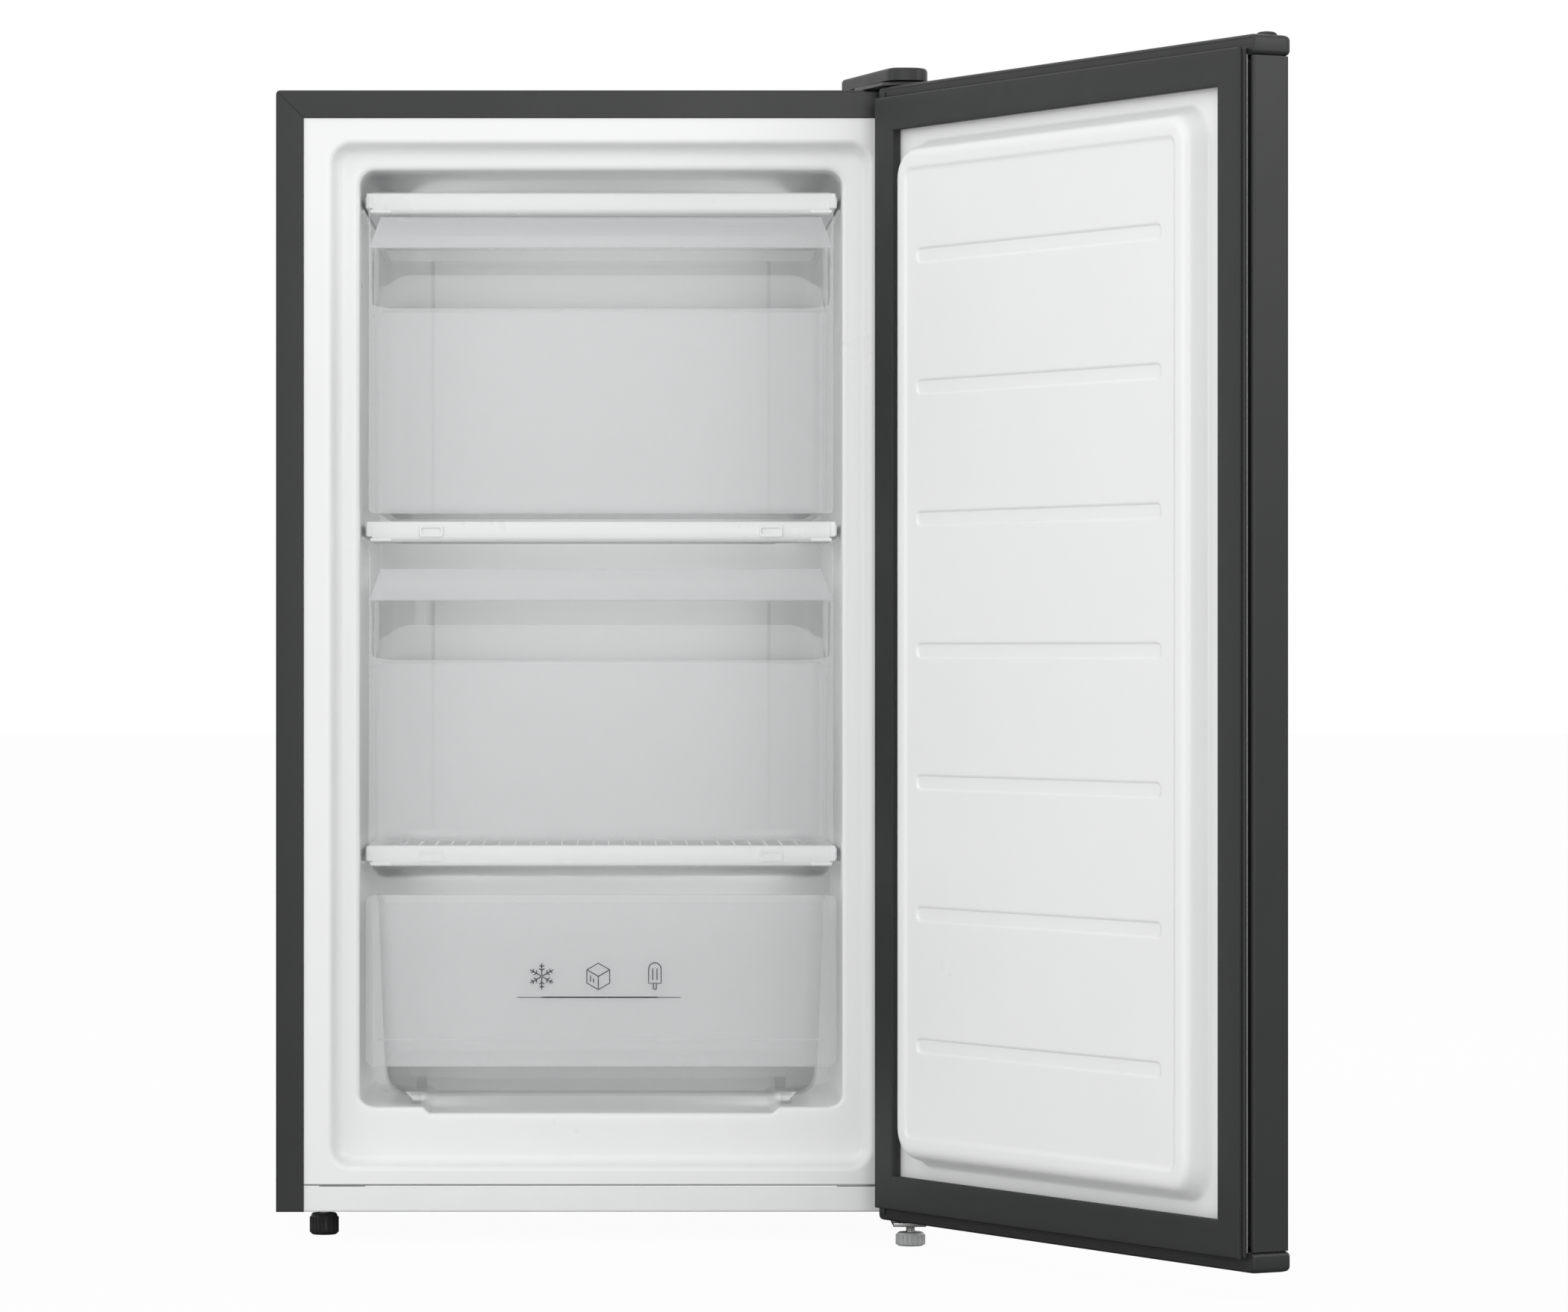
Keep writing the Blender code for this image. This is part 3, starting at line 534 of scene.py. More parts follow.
def make_rod_row():
    """A row of straight rods: wires on a shelf or on the condenser."""
    group, start, end = repeat_tree("rod_row", [
        ("Count", "NodeSocketInt", 10), ("First", "NodeSocketVector", None),
        ("Pitch", "NodeSocketVector", None), ("Turn", "NodeSocketVector", None),
        ("Length", "NodeSocketFloat", 0.3), ("Thickness", "NodeSocketFloat", 0.0015),
        ("Finish", "NodeSocketMaterial", None)])
    row = node(group, "GeometryNodeMeshLine", {"mode": "OFFSET"},
               {"Count": start.outputs["Count"], "Start Location": start.outputs["First"],
                "Offset": start.outputs["Pitch"]})
    radius = node(group, "ShaderNodeMath", {"operation": "MULTIPLY", 1: 0.5},
                  {0: start.outputs["Thickness"]})
    rod = node(group, "GeometryNodeMeshCylinder", {"Vertices": 8},
               {"Radius": radius.outputs[0], "Depth": start.outputs["Length"]})
    turn = node(group, "FunctionNodeEulerToRotation", {}, {0: start.outputs["Turn"]})
    placed = node(group, "GeometryNodeInstanceOnPoints", {},
                  {"Points": row.outputs[0], "Instance": rod.outputs["Mesh"],
                   "Rotation": turn.outputs[0]})
    close_tree(group, start, end, placed.outputs[0])
    return group


def make_rib_ring():
    """Upright half-round ribs on a circle: the grip of a foot or a knob."""
    group, start, end = repeat_tree("rib_ring", [
        ("Count", "NodeSocketInt", 24), ("Centre", "NodeSocketVector", None),
        ("Turn", "NodeSocketVector", None), ("Ring Radius", "NodeSocketFloat", 0.01),
        ("Rib Width", "NodeSocketFloat", 0.0012), ("Rib Height", "NodeSocketFloat", 0.008),
        ("Finish", "NodeSocketMaterial", None)])
    ring = node(group, "GeometryNodeMeshCircle", {},
                {"Vertices": start.outputs["Count"], "Radius": start.outputs["Ring Radius"]})
    radius = node(group, "ShaderNodeMath", {"operation": "MULTIPLY", 1: 0.5},
                  {0: start.outputs["Rib Width"]})
    rib = node(group, "GeometryNodeMeshCylinder", {"Vertices": 8},
               {"Radius": radius.outputs[0], "Depth": start.outputs["Rib Height"]})
    placed = node(group, "GeometryNodeInstanceOnPoints", {},
                  {"Points": ring.outputs[0], "Instance": rib.outputs["Mesh"]})
    moved = node(group, "GeometryNodeTransform", {},
                 {"Geometry": placed.outputs[0], "Translation": start.outputs["Centre"],
                  "Rotation": start.outputs["Turn"]})
    close_tree(group, start, end, moved.outputs[0])
    return group


def make_screw_row():
    """A row of pan-head screws with cross recesses, standing out along +Y."""
    group, start, end = repeat_tree("screw_row", [
        ("Count", "NodeSocketInt", 4), ("First", "NodeSocketVector", None),
        ("Pitch", "NodeSocketVector", None), ("Turn", "NodeSocketVector", (-math.pi / 2, 0.0, 0.0)),
        ("Head Radius", "NodeSocketFloat", 0.0038), ("Finish", "NodeSocketMaterial", None)])
    row = node(group, "GeometryNodeMeshLine", {"mode": "OFFSET"},
               {"Count": start.outputs["Count"], "Start Location": start.outputs["First"],
                "Offset": start.outputs["Pitch"]})
    crown = node(group, "ShaderNodeMath", {"operation": "MULTIPLY", 1: 0.72},
                 {0: start.outputs["Head Radius"]})
    head = node(group, "GeometryNodeMeshCone", {"Vertices": 20, "Depth": 0.0018},
                {"Radius Top": crown.outputs[0], "Radius Bottom": start.outputs["Head Radius"]})
    across = node(group, "GeometryNodeMeshCube", {"Size": (0.0036, 0.0008, 0.0018)})
    along = node(group, "GeometryNodeMeshCube", {"Size": (0.0008, 0.0036, 0.0018)})
    low = node(group, "GeometryNodeTransform", {"Translation": (0.0, 0.0, 0.0016)},
               {"Geometry": across.outputs[0]})
    lower = node(group, "GeometryNodeTransform", {"Translation": (0.0, 0.0, 0.0016)},
                 {"Geometry": along.outputs[0]})
    cut = node(group, "GeometryNodeMeshBoolean", {"operation": "DIFFERENCE"},
               {"Mesh 1": head.outputs["Mesh"]})
    group.links.new(low.outputs[0], cut.inputs["Mesh 2"])
    group.links.new(lower.outputs[0], cut.inputs["Mesh 2"])
    turn = node(group, "FunctionNodeEulerToRotation", {}, {0: start.outputs["Turn"]})
    placed = node(group, "GeometryNodeInstanceOnPoints", {},
                  {"Points": row.outputs[0], "Instance": cut.outputs["Mesh"],
                   "Rotation": turn.outputs[0]})
    close_tree(group, start, end, placed.outputs[0])
    return group


def run_tree(group, values):
    """Runs a tree with its sizes and returns the plain mesh that it makes."""
    holder = bpy.data.objects.new("holder", bpy.data.meshes.new("holder"))
    bpy.context.scene.collection.objects.link(holder)
    modifier = holder.modifiers.new("repeat", "NODES")
    modifier.node_group = group
    for item in group.interface.items_tree:
        if item.item_type == "SOCKET" and item.in_out == "INPUT" and item.name in values:
            modifier[item.identifier] = values[item.name]
    graph = bpy.context.evaluated_depsgraph_get()
    mesh = bpy.data.meshes.new_from_object(holder.evaluated_get(graph))
    holder.modifiers.remove(modifier)
    bpy.data.objects.remove(holder)
    return mesh


def take_tree(stock, group, values, kind=0):
    """Adds what a tree makes to a piece's stock."""
    mesh = run_tree(group, values)
    work = bmesh.new()
    work.from_mesh(mesh)
    stock.take(work, kind)
    work.free()
    bpy.data.meshes.remove(mesh)


ROD_ROW = make_rod_row()
RIB_RING = make_rib_ring()
SCREW_ROW = make_screw_row()


# ---- the cabinet -------------------------------------------------------------
def make_wrapper():
    """The folded sheet: rear edge, sides and top, front fold and the mitred front frame."""
    bend = 0.0016
    sheet = 0.0008
    corner = 0.0030
    profile = [(0.0, CAB_DEPTH), (0.0, 0.30), (0.0, 0.15), (0.0, bend)]
    for k in range(1, 5):
        t = math.radians(90.0 * k / 4)
        profile.append((bend - bend * math.cos(t), bend - bend * math.sin(t)))
    profile += [(FLANGE - 0.0004, 0.0), (FLANGE, 0.0004), (FLANGE, sheet), (bend + 0.0002, sheet),
                (sheet, bend + 0.0004), (sheet, CAB_DEPTH)]
    seam, sink = 0.00028, 0.0006

    def at(inset, corner_side, step):
        """Where a profile point stands at one of the stations round a top corner."""
        sx = corner_side
        cx = sx * (CAB_HALF - inset)
        cz = CAB_TOP - inset
        radius = max(corner - inset, 0.0)
        mx = cx - sx * radius
        mz = cz - radius
        turn = {-3: 0.0, -2: 22.0, -1: 41.0, 0: 45.0, 1: 49.0, 2: 68.0, 3: 90.0}[step]
        if sx > 0:
            angle = math.radians(90.0 - turn)
        else:
            angle = math.radians(180.0 - turn)
        if radius > 1e-6:
            return mx + radius * math.cos(angle), mz + radius * math.sin(angle)
        pull = seam * (0 if step == 0 else (1 if step > 0 else -1))
        if sx < 0:
            return (cx + pull, cz) if step > 0 else (cx, cz + pull)
        return (cx, cz - pull) if step > 0 else (cx + pull, cz)

    loops = [[Vector((-CAB_HALF + inset, y, CAB_BASE)) for inset, y in profile]]
    for side in (-1, 1):
        for step in range(-3, 4):
            loop = []
            for inset, y in profile:
                x, z = at(inset, side, step)
                drop = sink if step == 0 and y < 0.0005 else 0.0
                loop.append(Vector((x, y + drop, z)))
            loops.append(loop)
    loops.append([Vector((CAB_HALF - inset, y, CAB_BASE)) for inset, y in profile])
    stock = Stock()
    stock.loft(loops)
    make("cabinet_shell", stock, CHARCOAL, "cabinet", ["cabinet_wrapper"], smooth=50.0)


LINER_XS = (-0.150, -0.1335, -0.1315, -0.1295, -0.1275, -0.1255, -0.06, 0.0, 0.06, 0.1255, 0.1275,
            0.1295, 0.1315, 0.1335, 0.150)
LINER_ZS = (0.15, 0.30, 0.45, 0.60, 0.72)


def make_liner():
    """The formed tank: flat edge, soft step, second step into the cavity, two floor landings,
    and the shelf over the machine space."""
    def loop(half, low, high, radius, y):
        return frame_loop(half, low, high, radius, y, LINER_XS, LINER_ZS, 8)

    def step_rect(inset, y):
        return loop(0.199 - inset, 0.055 + inset, 0.811 - inset, 0.0150 - inset, y)

    def mouth_rect(inset, y):
        made = loop(0.1785 - inset, 0.094 + inset, 0.792 - inset, max(0.0115 - inset, 0.003), y)
        for p in made:
            lift = smoothstep(0.1265, 0.1330, abs(p.x)) * min(max(1.0 - (p.z - 0.094) / 0.02, 0.0), 1.0)
            p.z += 0.0046 * lift
        return made

    def over_hump(low, points):
        """The same course where the tank's floor steps up over the machine space."""
        foot, head = min(p.z for p in points), max(p.z for p in points)
        for p in points:
            p.z = low + (p.z - foot) * (head - low) / (head - foot)
        return points

    skin = [over_hump(0.2604, loop(0.1781, 0.0925, 0.7915, 0.011, CAVITY_BACK + 0.0014)),
            over_hump(0.2604, loop(0.1788, 0.0925, 0.7922, 0.011, 0.2466)),
            loop(0.1788, 0.0925, 0.7922, 0.011, 0.2466),
            loop(0.1801, 0.0925, 0.7935, 0.012, 0.0182), loop(0.1985, 0.0555, 0.8105, 0.014, 0.0176),
            loop(0.2006, 0.0534, 0.8126, 0.015, 0.0027), loop(0.232, 0.0424, 0.842, 0.002, 0.0027),
            loop(0.232, 0.0424, 0.842, 0.002, 0.0014), loop(0.2317, 0.0427, 0.8417, 0.002, LINER_Y)]
    for inset, y in ((-0.0034, 0.0011), (-0.0020, 0.0013), (-0.0008, 0.0018), (0.0002, 0.0027),
                     (0.0008, 0.0040), (0.0013, 0.0060), (0.0018, 0.0092), (0.0026, 0.0118),
                     (0.0040, 0.0140), (0.0060, 0.0154), (0.0085, 0.0160)):
        skin.append(step_rect(inset, y))
    skin.append(loop(0.1835, 0.088, 0.797, 0.0135, 0.0162))
    for inset, y in ((-0.0036, 0.0163), (-0.0022, 0.0167), (-0.0010, 0.0176), (-0.0003, 0.0190),
                     (0.0000, 0.0210), (0.0008, 0.1500), (0.0012, 0.2430), (0.0014, 0.2450)):
        skin.append(mouth_rect(inset, y))
    for inset, y, low in ((0.0014, 0.2450, 0.2575), (0.0014, 0.2456, 0.2602), (0.0014, 0.2474, 0.2616),
                          (0.0014, 0.2500, 0.2620), (0.0017, 0.3740, 0.2620), (0.0022, 0.3772, 0.2626),
                          (0.0036, 0.3792, 0.2640), (0.0060, CAVITY_BACK, 0.2670)):
        skin.append(over_hump(low, loop(0.1785 - inset, 0.094 + inset, 0.792 - inset, 0.0115 - inset, y)))
    stock = Stock()
    stock.loft(skin)
    for side in (-1, 1):
        for low in SHELVES.values():
            stock.block(sorted((side * 0.1788, side * 0.1762)), (0.048, 0.376),
                        (low + 0.0015, low + 0.0040), 0.0008)
    make("tank", stock, WHITE, "cabinet", ["cabinet_liner"])


def make_kick_rail():
    """The bent rail under the tank, with rounded bends and a turned foot."""
    low, high = CAB_BASE, 0.0408
    bend = 0.0016
    profile = [(LINER_Y + 0.0012, high), (LINER_Y + 0.0003, high), (LINER_Y, high - 0.0003),
               (LINER_Y, low + bend)]
    for k in range(1, 5):
        t = math.radians(90.0 * k / 4)
        profile.append((LINER_Y + bend - bend * math.cos(t), low + bend - bend * math.sin(t)))
    profile += [(0.085, low), (0.085, low + 0.001), (LINER_Y + 0.0020, low + 0.001),
                (LINER_Y + 0.0012, low + 0.0018)]
    half = 0.2389
    stock = Stock()
    stock.loft([[Vector((x, y, z)) for y, z in profile] for x in (-half, -0.12, 0.0, 0.12, half)])
    make("toe_rail", stock, WHITE_PAINT, "cabinet", ["kick_rail"], smooth=40.0)


# ---- the door ----------------------------------------------------------------
def make_door_skin():
    """The folded outer pan, hemmed at both upright edges."""
    low = DOOR_BASE + CAP_HIGH + 0.0003
    high = DOOR_TOP - CAP_HIGH - 0.0003
    outer, hem, sheet = CAB_HALF, 0.0036, 0.0008
    right = [(outer - 0.0060, SKIN_Y)]
    for k in range(0, 6):
        t = math.radians(90.0 * k / 5)
        right.append((outer - 0.0030 + 0.0030 * math.sin(t), SKIN_Y + 0.0030 - 0.0030 * math.cos(t)))
    for k in range(0, 6):
        t = math.radians(90.0 * k / 5)
        right.append((outer - 0.0016 + 0.0016 * math.cos(t), LIP_Y - 0.0016 + 0.0016 * math.sin(t)))
    right += [(outer - hem + 0.0004, LIP_Y), (outer - hem, LIP_Y - 0.0004),
              (outer - hem, LIP_Y - sheet), (outer - 0.0018, LIP_Y - sheet - 0.0004),
              (outer - sheet, LIP_Y - 0.0022), (outer - sheet, SKIN_Y + 0.0030),
              (outer - 0.0030, SKIN_Y + sheet)]
    profile = right + [(-x, y) for x, y in reversed(right)]
    stock = Stock()
    heights = [low, low + 0.2, DOOR_MID, high - 0.2, high]
    stock.loft([[Vector((x, y, z)) for x, y in profile] for z in heights])
    make("door_pan", stock, CHARCOAL, "door", ["door_skin"], HANG, 40.0)


def make_door_panel():
    """The door's formed inner panel: raised dyke, rolled rim, sunk field with seven grooves."""
    groove_left, groove_right, tall = -0.1545, 0.1585, 0.0095
    xs = [-0.1605, -0.1570, -0.1556, -0.1545, -0.1533, -0.1520, -0.1500, -0.1470, -0.10, -0.05, 0.0,
          0.05, 0.10, 0.1510, 0.1540, 0.1560, 0.1573, 0.1585, 0.1596, 0.1610]
    zs = []
    for middle in reversed(GROOVES):
        for step in (-0.0068, -0.0058, -0.0050, -0.0043, -0.0034, -0.0015, 0.0015, 0.0034, 0.0043,
                     0.0050, 0.0058, 0.0068):
            zs.append(middle + step)
    zs = sorted(zs + [0.11, 0.20, 0.294, 0.389, 0.484, 0.579, 0.674, 0.75])

    def rect(half, rise, radius, y):
        return frame_loop(half, DOOR_MID - rise, DOOR_MID + rise, radius, y, xs, zs, 7)

    field_y = 0.0086
    loops = [rect(0.1848, 0.3618, 0.0188, 0.0072), rect(0.1888, 0.3693, 0.0200, -0.0102),
             rect(0.2310, 0.4045, 0.001, -0.0102), rect(0.2310, 0.4045, 0.001, LIP_Y - 0.0002),
             rect(0.2308, 0.4043, 0.001, LIP_Y)]
    for inset, y in ((-0.0028, LIP_Y), (-0.0012, -0.0087), (0.0000, -0.0076), (0.0007, -0.0058),
                     (0.0012, -0.0030), (0.0021, 0.0020), (0.0028, 0.0050), (0.0036, 0.0070),
                     (0.0052, 0.0087), (0.0076, 0.0097), (0.0104, 0.0100), (0.0150, 0.0100),
                     (0.0164, 0.0098), (0.0174, 0.0091), (0.0184, 0.0087), (0.0200, field_y)):
        rise = 0.3705 - inset - min(max(inset, 0.0), 0.004) * 0.85
        loops.append(rect(0.190 - inset, rise, max(0.0235 - inset, 0.0055), y))
    edge_half, edge_rise = 0.1630, 0.3400
    loops.append(rect(edge_half, edge_rise, 0.0, field_y))
    stock = Stock()
    count = len(loops[0])
    faces = []
    for row in range(len(loops) - 1):
        for i in range(count):
            j = (i + 1) % count
            faces.append((row * count + i, row * count + j, (row + 1) * count + j, (row + 1) * count + i))
    faces.append(tuple(reversed(range(count))))
    stock.add([p for loop in loops for p in loop], faces)
    across = [-edge_half] + xs + [edge_half]
    up = [DOOR_MID - edge_rise] + zs + [DOOR_MID + edge_rise]

    def sunk(x, z):
        """How deep the nearest groove is at a point of the field."""
        deep = 0.0
        half_tall = tall / 2.0
        round_end = 0.0042
        for middle in GROOVES:
            dx = abs(x - (groove_left + groove_right) / 2.0)
            dx -= (groove_right - groove_left) / 2.0 - round_end
            dz = abs(z - middle) - (half_tall - round_end)
            out = math.hypot(max(dx, 0.0), max(dz, 0.0)) + min(max(dx, dz), 0.0) - round_end
            deep = max(deep, 1.0 - smoothstep(-0.0010, 0.0009, out))
        return 0.0017 * deep

    wide = len(across)
    points = [Vector((x, field_y - sunk(x, z), z)) for z in up for x in across]
    faces = [(r * wide + c, r * wide + c + 1, (r + 1) * wide + c + 1, (r + 1) * wide + c)
             for r in range(len(up) - 1) for c in range(wide - 1)]
    stock.add(points, faces)
    make("door_inner_panel", stock, WHITE, "door", ["door_liner"], HANG)


def make_seal():
    """The magnetic seal: flat face, rounded edges, a pinched bellows and welded mitres."""
    wide = 0.025
    front = GASKET_FACE
    back = LIP_Y + 0.0004
    profile = [(0.0006, back), (0.0002, back + 0.0010), (0.0010, back + 0.0022), (0.0016, back + 0.0028),
               (0.0008, back + 0.0036), (0.0000, front - 0.0024), (0.0000, front - 0.0008),
               (0.0003, front - 0.0002), (0.0010, front), (0.0060, front + 0.0), (0.0125, front - 0.0001),
               (0.0190, front), (wide - 0.0012, front), (wide - 0.0004, front - 0.0003),
               (wide, front - 0.0010), (wide - 0.0004, front - 0.0030), (wide - 0.0012, front - 0.0040),
               (wide - 0.0006, back + 0.0012), (wide - 0.0010, back)]
    stock = Stock()
    sweep_frame(stock, profile, 0.233, DOOR_MID - 0.406, DOOR_MID + 0.406, 0.0009, 0.00016, front)
    make("door_seal", stock, SEAL, "door", ["door_gasket"], HANG, 50.0)


def make_cap(name, cad_name, low, upper):
    """A moulded door end: full rounded outside, fine step lines inside, and the hinge tab."""
    high = low + CAP_HIGH
    half = CAB_HALF
    stock = Stock()

    def outline(inset, soft):
        """The cap seen from above, with its outer corners well rounded."""
        points = []
        front, back = CAP_Y + inset, LIP_Y - inset * 0.6
        for cx, cy, start, radius in ((half - inset, front, 270.0, soft), (half - inset, back, 0.0, 0.0016),
                                      (-half + inset, back, 90.0, 0.0016), (-half + inset, front, 180.0, soft)):
            mx = cx - math.copysign(radius, cx)
            my = cy + radius if cy == front else cy - radius
            for k in range(7):
                t = math.radians(start + 90.0 * k / 6)
                points.append((mx + radius * math.cos(t), my + radius * math.sin(t)))
        return points

    rows = [(0.0030, 0.0), (0.0014, 0.0005), (0.0004, 0.0016), (0.0, 0.0032), (0.0, 0.0108),
            (0.0005, 0.0124), (0.0014, 0.0134), (0.0026, 0.0140)]
    loops = []
    for inset, height in rows:
        z = high - height if upper else low + height
        loops.append([Vector((x, y, z)) for x, y in outline(inset, 0.0055)])
    stock.loft(loops)
    inner = high - 0.0024 if upper else low + 0.0024
    step = -1 if upper else 1
    stock.block((-half + 0.003, half - 0.003), (LIP_Y - 0.002, LIP_Y + 0.00016),
                sorted((inner - 0.0009 * step, inner + 0.0002 * step)), 0.00012)
    stock.block((-half + 0.004, half - 0.012), (LIP_Y - 0.002, LIP_Y + 0.00012),
                sorted((inner + 0.0040 * step, inner + 0.0046 * step)), 0.0001)
    stock.block((half - 0.0100, half - 0.0045), (LIP_Y - 0.002, LIP_Y + 0.0009),
                sorted((inner + 0.0016 * step, inner + 0.0070 * step)), 0.0004)
    make(name, stock, CHARCOAL_MOULDED, "door", [cad_name], HANG, 40.0)


def make_cap_plug():
    """The domed stopper over the spare hinge hole."""
    stock = Stock()
    rows = [(0.0072, 0.0), (0.0072, 0.0007), (0.0066, 0.0012), (0.0062, 0.0018), (0.0048, 0.0024),
            (0.0028, 0.0027), (0.0008, 0.0028)]
    stock.turned(rows, (-0.227, -0.0285, DOOR_TOP + 0.0003), sides=28)
    make("cap_stopper", stock, RUBBER, "door", ["door_cap_plug"], HANG)


def make_door_core():
    """The foam inside the door, kept back from the seal's groove."""
    def rect(half, rise, radius, y):
        return frame_loop(half, DOOR_MID - rise, DOOR_MID + rise, radius, y)

    stock = Stock()
    stock.loft([rect(0.2375, 0.4005, 0.004, SKIN_Y + 0.0011), rect(0.2375, 0.4005, 0.004, -0.024),
                rect(0.2290, 0.4005, 0.004, -0.0225), rect(0.2290, 0.4005, 0.004, -0.0105),
                rect(0.1880, 0.3685, 0.020, -0.0105), rect(0.1840, 0.3610, 0.019, 0.0062)])
    for i, face in enumerate(stock.faces):
        spread = max(abs(stock.points[k].x) for k in face)
        reach = max(abs(stock.points[k].z - DOOR_MID) for k in face)
        if (spread > 0.2285 or reach > 0.395) and max(stock.points[k].y for k in face) > -0.0238:
            stock.kinds[i] = 1
    make("door_core", stock, [FOAM, SEAL], "door", ["door_foam"], HANG)


# ---- shelves and drawers -----------------------------------------------------
def make_shelf_trim(label, low):
    """The channel clipped over a shelf's front tube, with end notches and clip sockets."""
    high = low + 0.0155
    front = SHELF_FRONT
    profile = [(front + 0.0006, low + 0.0022), (front, low + 0.0034), (front - 0.0001, low + 0.0080),
               (front + 0.0002, high - 0.0016), (front + 0.0009, high - 0.0005), (front + 0.0020, high),
               (front + 0.0125, high), (front + 0.0130, high - 0.0006), (front + 0.0124, high - 0.0014),
               (front + 0.0030, high - 0.0015), (front + 0.0017, high - 0.0030),
               (front + 0.0016, low + 0.0034), (front + 0.0030, low + 0.0016), (front + 0.0120, low + 0.0014),
               (front + 0.0124, low + 0.0006), (front + 0.0120, low), (front + 0.0030, low),
               (front + 0.0016, low + 0.0008)]
    stock = Stock()
    stock.loft([[Vector((x, y, z)) for y, z in profile] for x in (-0.1700, -0.08, 0.0, 0.08, 0.1700)])
    for side in (-1, 1):
        stock.block(sorted((side * 0.1695, side * 0.1744)), (front + 0.0004, front + 0.0128),
                    (low + 0.0040, high - 0.0002), 0.0009)
        stock.block(sorted((side * 0.1560, side * 0.1716)), (front - 0.0003, front + 0.0020),
                    (low + 0.0006, low + 0.0030), 0.0005)
    if label != "top":
        for side in (-1, 1):
            middle = side * 0.1262
            outer = frame_loop(0.0089, low + 0.0040, low + 0.0125, 0.0019, front - 0.0013)
            inner = frame_loop(0.0070, low + 0.0058, low + 0.0107, 0.0012, front - 0.0013)
            rows = [(outer, 0.0030), (outer, 0.0004), (outer, 0.0), (inner, 0.0), (inner, 0.0004),
                    (inner, 0.0011), (inner, 0.0030)]
            loops = []
            for k, (base, back) in enumerate(rows):
                squeeze = 0.0002 if k == 2 else (-0.0002 if k == 3 else 0.0)
                share = 1.0 - squeeze / 0.008
                loops.append([Vector((middle + p.x * share, p.y + back, p.z)) for p in base])
            stock.loft(loops, ring=True)
    make("shelf_edge_" + label, stock, WHITE_TRIM, "cabinet", ["shelf_trim_" + label],
         smooth=44.0)


def make_shelf_wires(label, low):
    """The cooling tube with its thin cross wires and the two side rails."""
    stock = Stock()
    middle = low + 0.0155 / 2.0
    take_tree(stock, ROD_ROW, {
        "Count": 26, "First": Vector((-0.1500, 0.209, middle + 0.0047)),
        "Pitch": Vector((0.0120, 0.0, 0.0)), "Turn": Vector((math.pi / 2, 0.0, 0.0)),
        "Length": 0.318, "Thickness": 0.0013, "Finish": WIRE})
    make("shelf_wires_" + label, stock, WIRE, "cabinet", (), smooth=60.0)
    soften("shelf_coil_" + label, "evaporator_" + label, TUBE, "cabinet", 0.0, 1)


def plan_outline(half, front, back, radius, jog=0.0, steps=6):
    """A tub seen from above, anticlockwise from its front left corner; its back wall may step in."""
    points = []
    corners = ((-half, front, 180.0), (half, front, 270.0), (half, back, 0.0), (-half, back, 90.0))
    for cx, cy, start in corners:
        mx = cx - math.copysign(radius, cx)
        my = cy + radius if cy == front else cy - radius
        for k in range(steps + 1):
            t = math.radians(start + 90.0 * k / steps)
            points.append((mx + radius * math.cos(t), my + radius * math.sin(t)))
        if cx > 0 and cy == front:
            points += [(half, front + 0.024), (half, front + 0.030), (half, front + 0.12)]
        if cx > 0 and cy == back:
            points += [(0.1345, back), (0.1315, back - jog), (0.0, back - jog), (-0.1315, back - jog),
                       (-0.1345, back)]
        if cx < 0 and cy == back:
            points += [(-half, front + 0.12), (-half, front + 0.030), (-half, front + 0.024)]
    return points


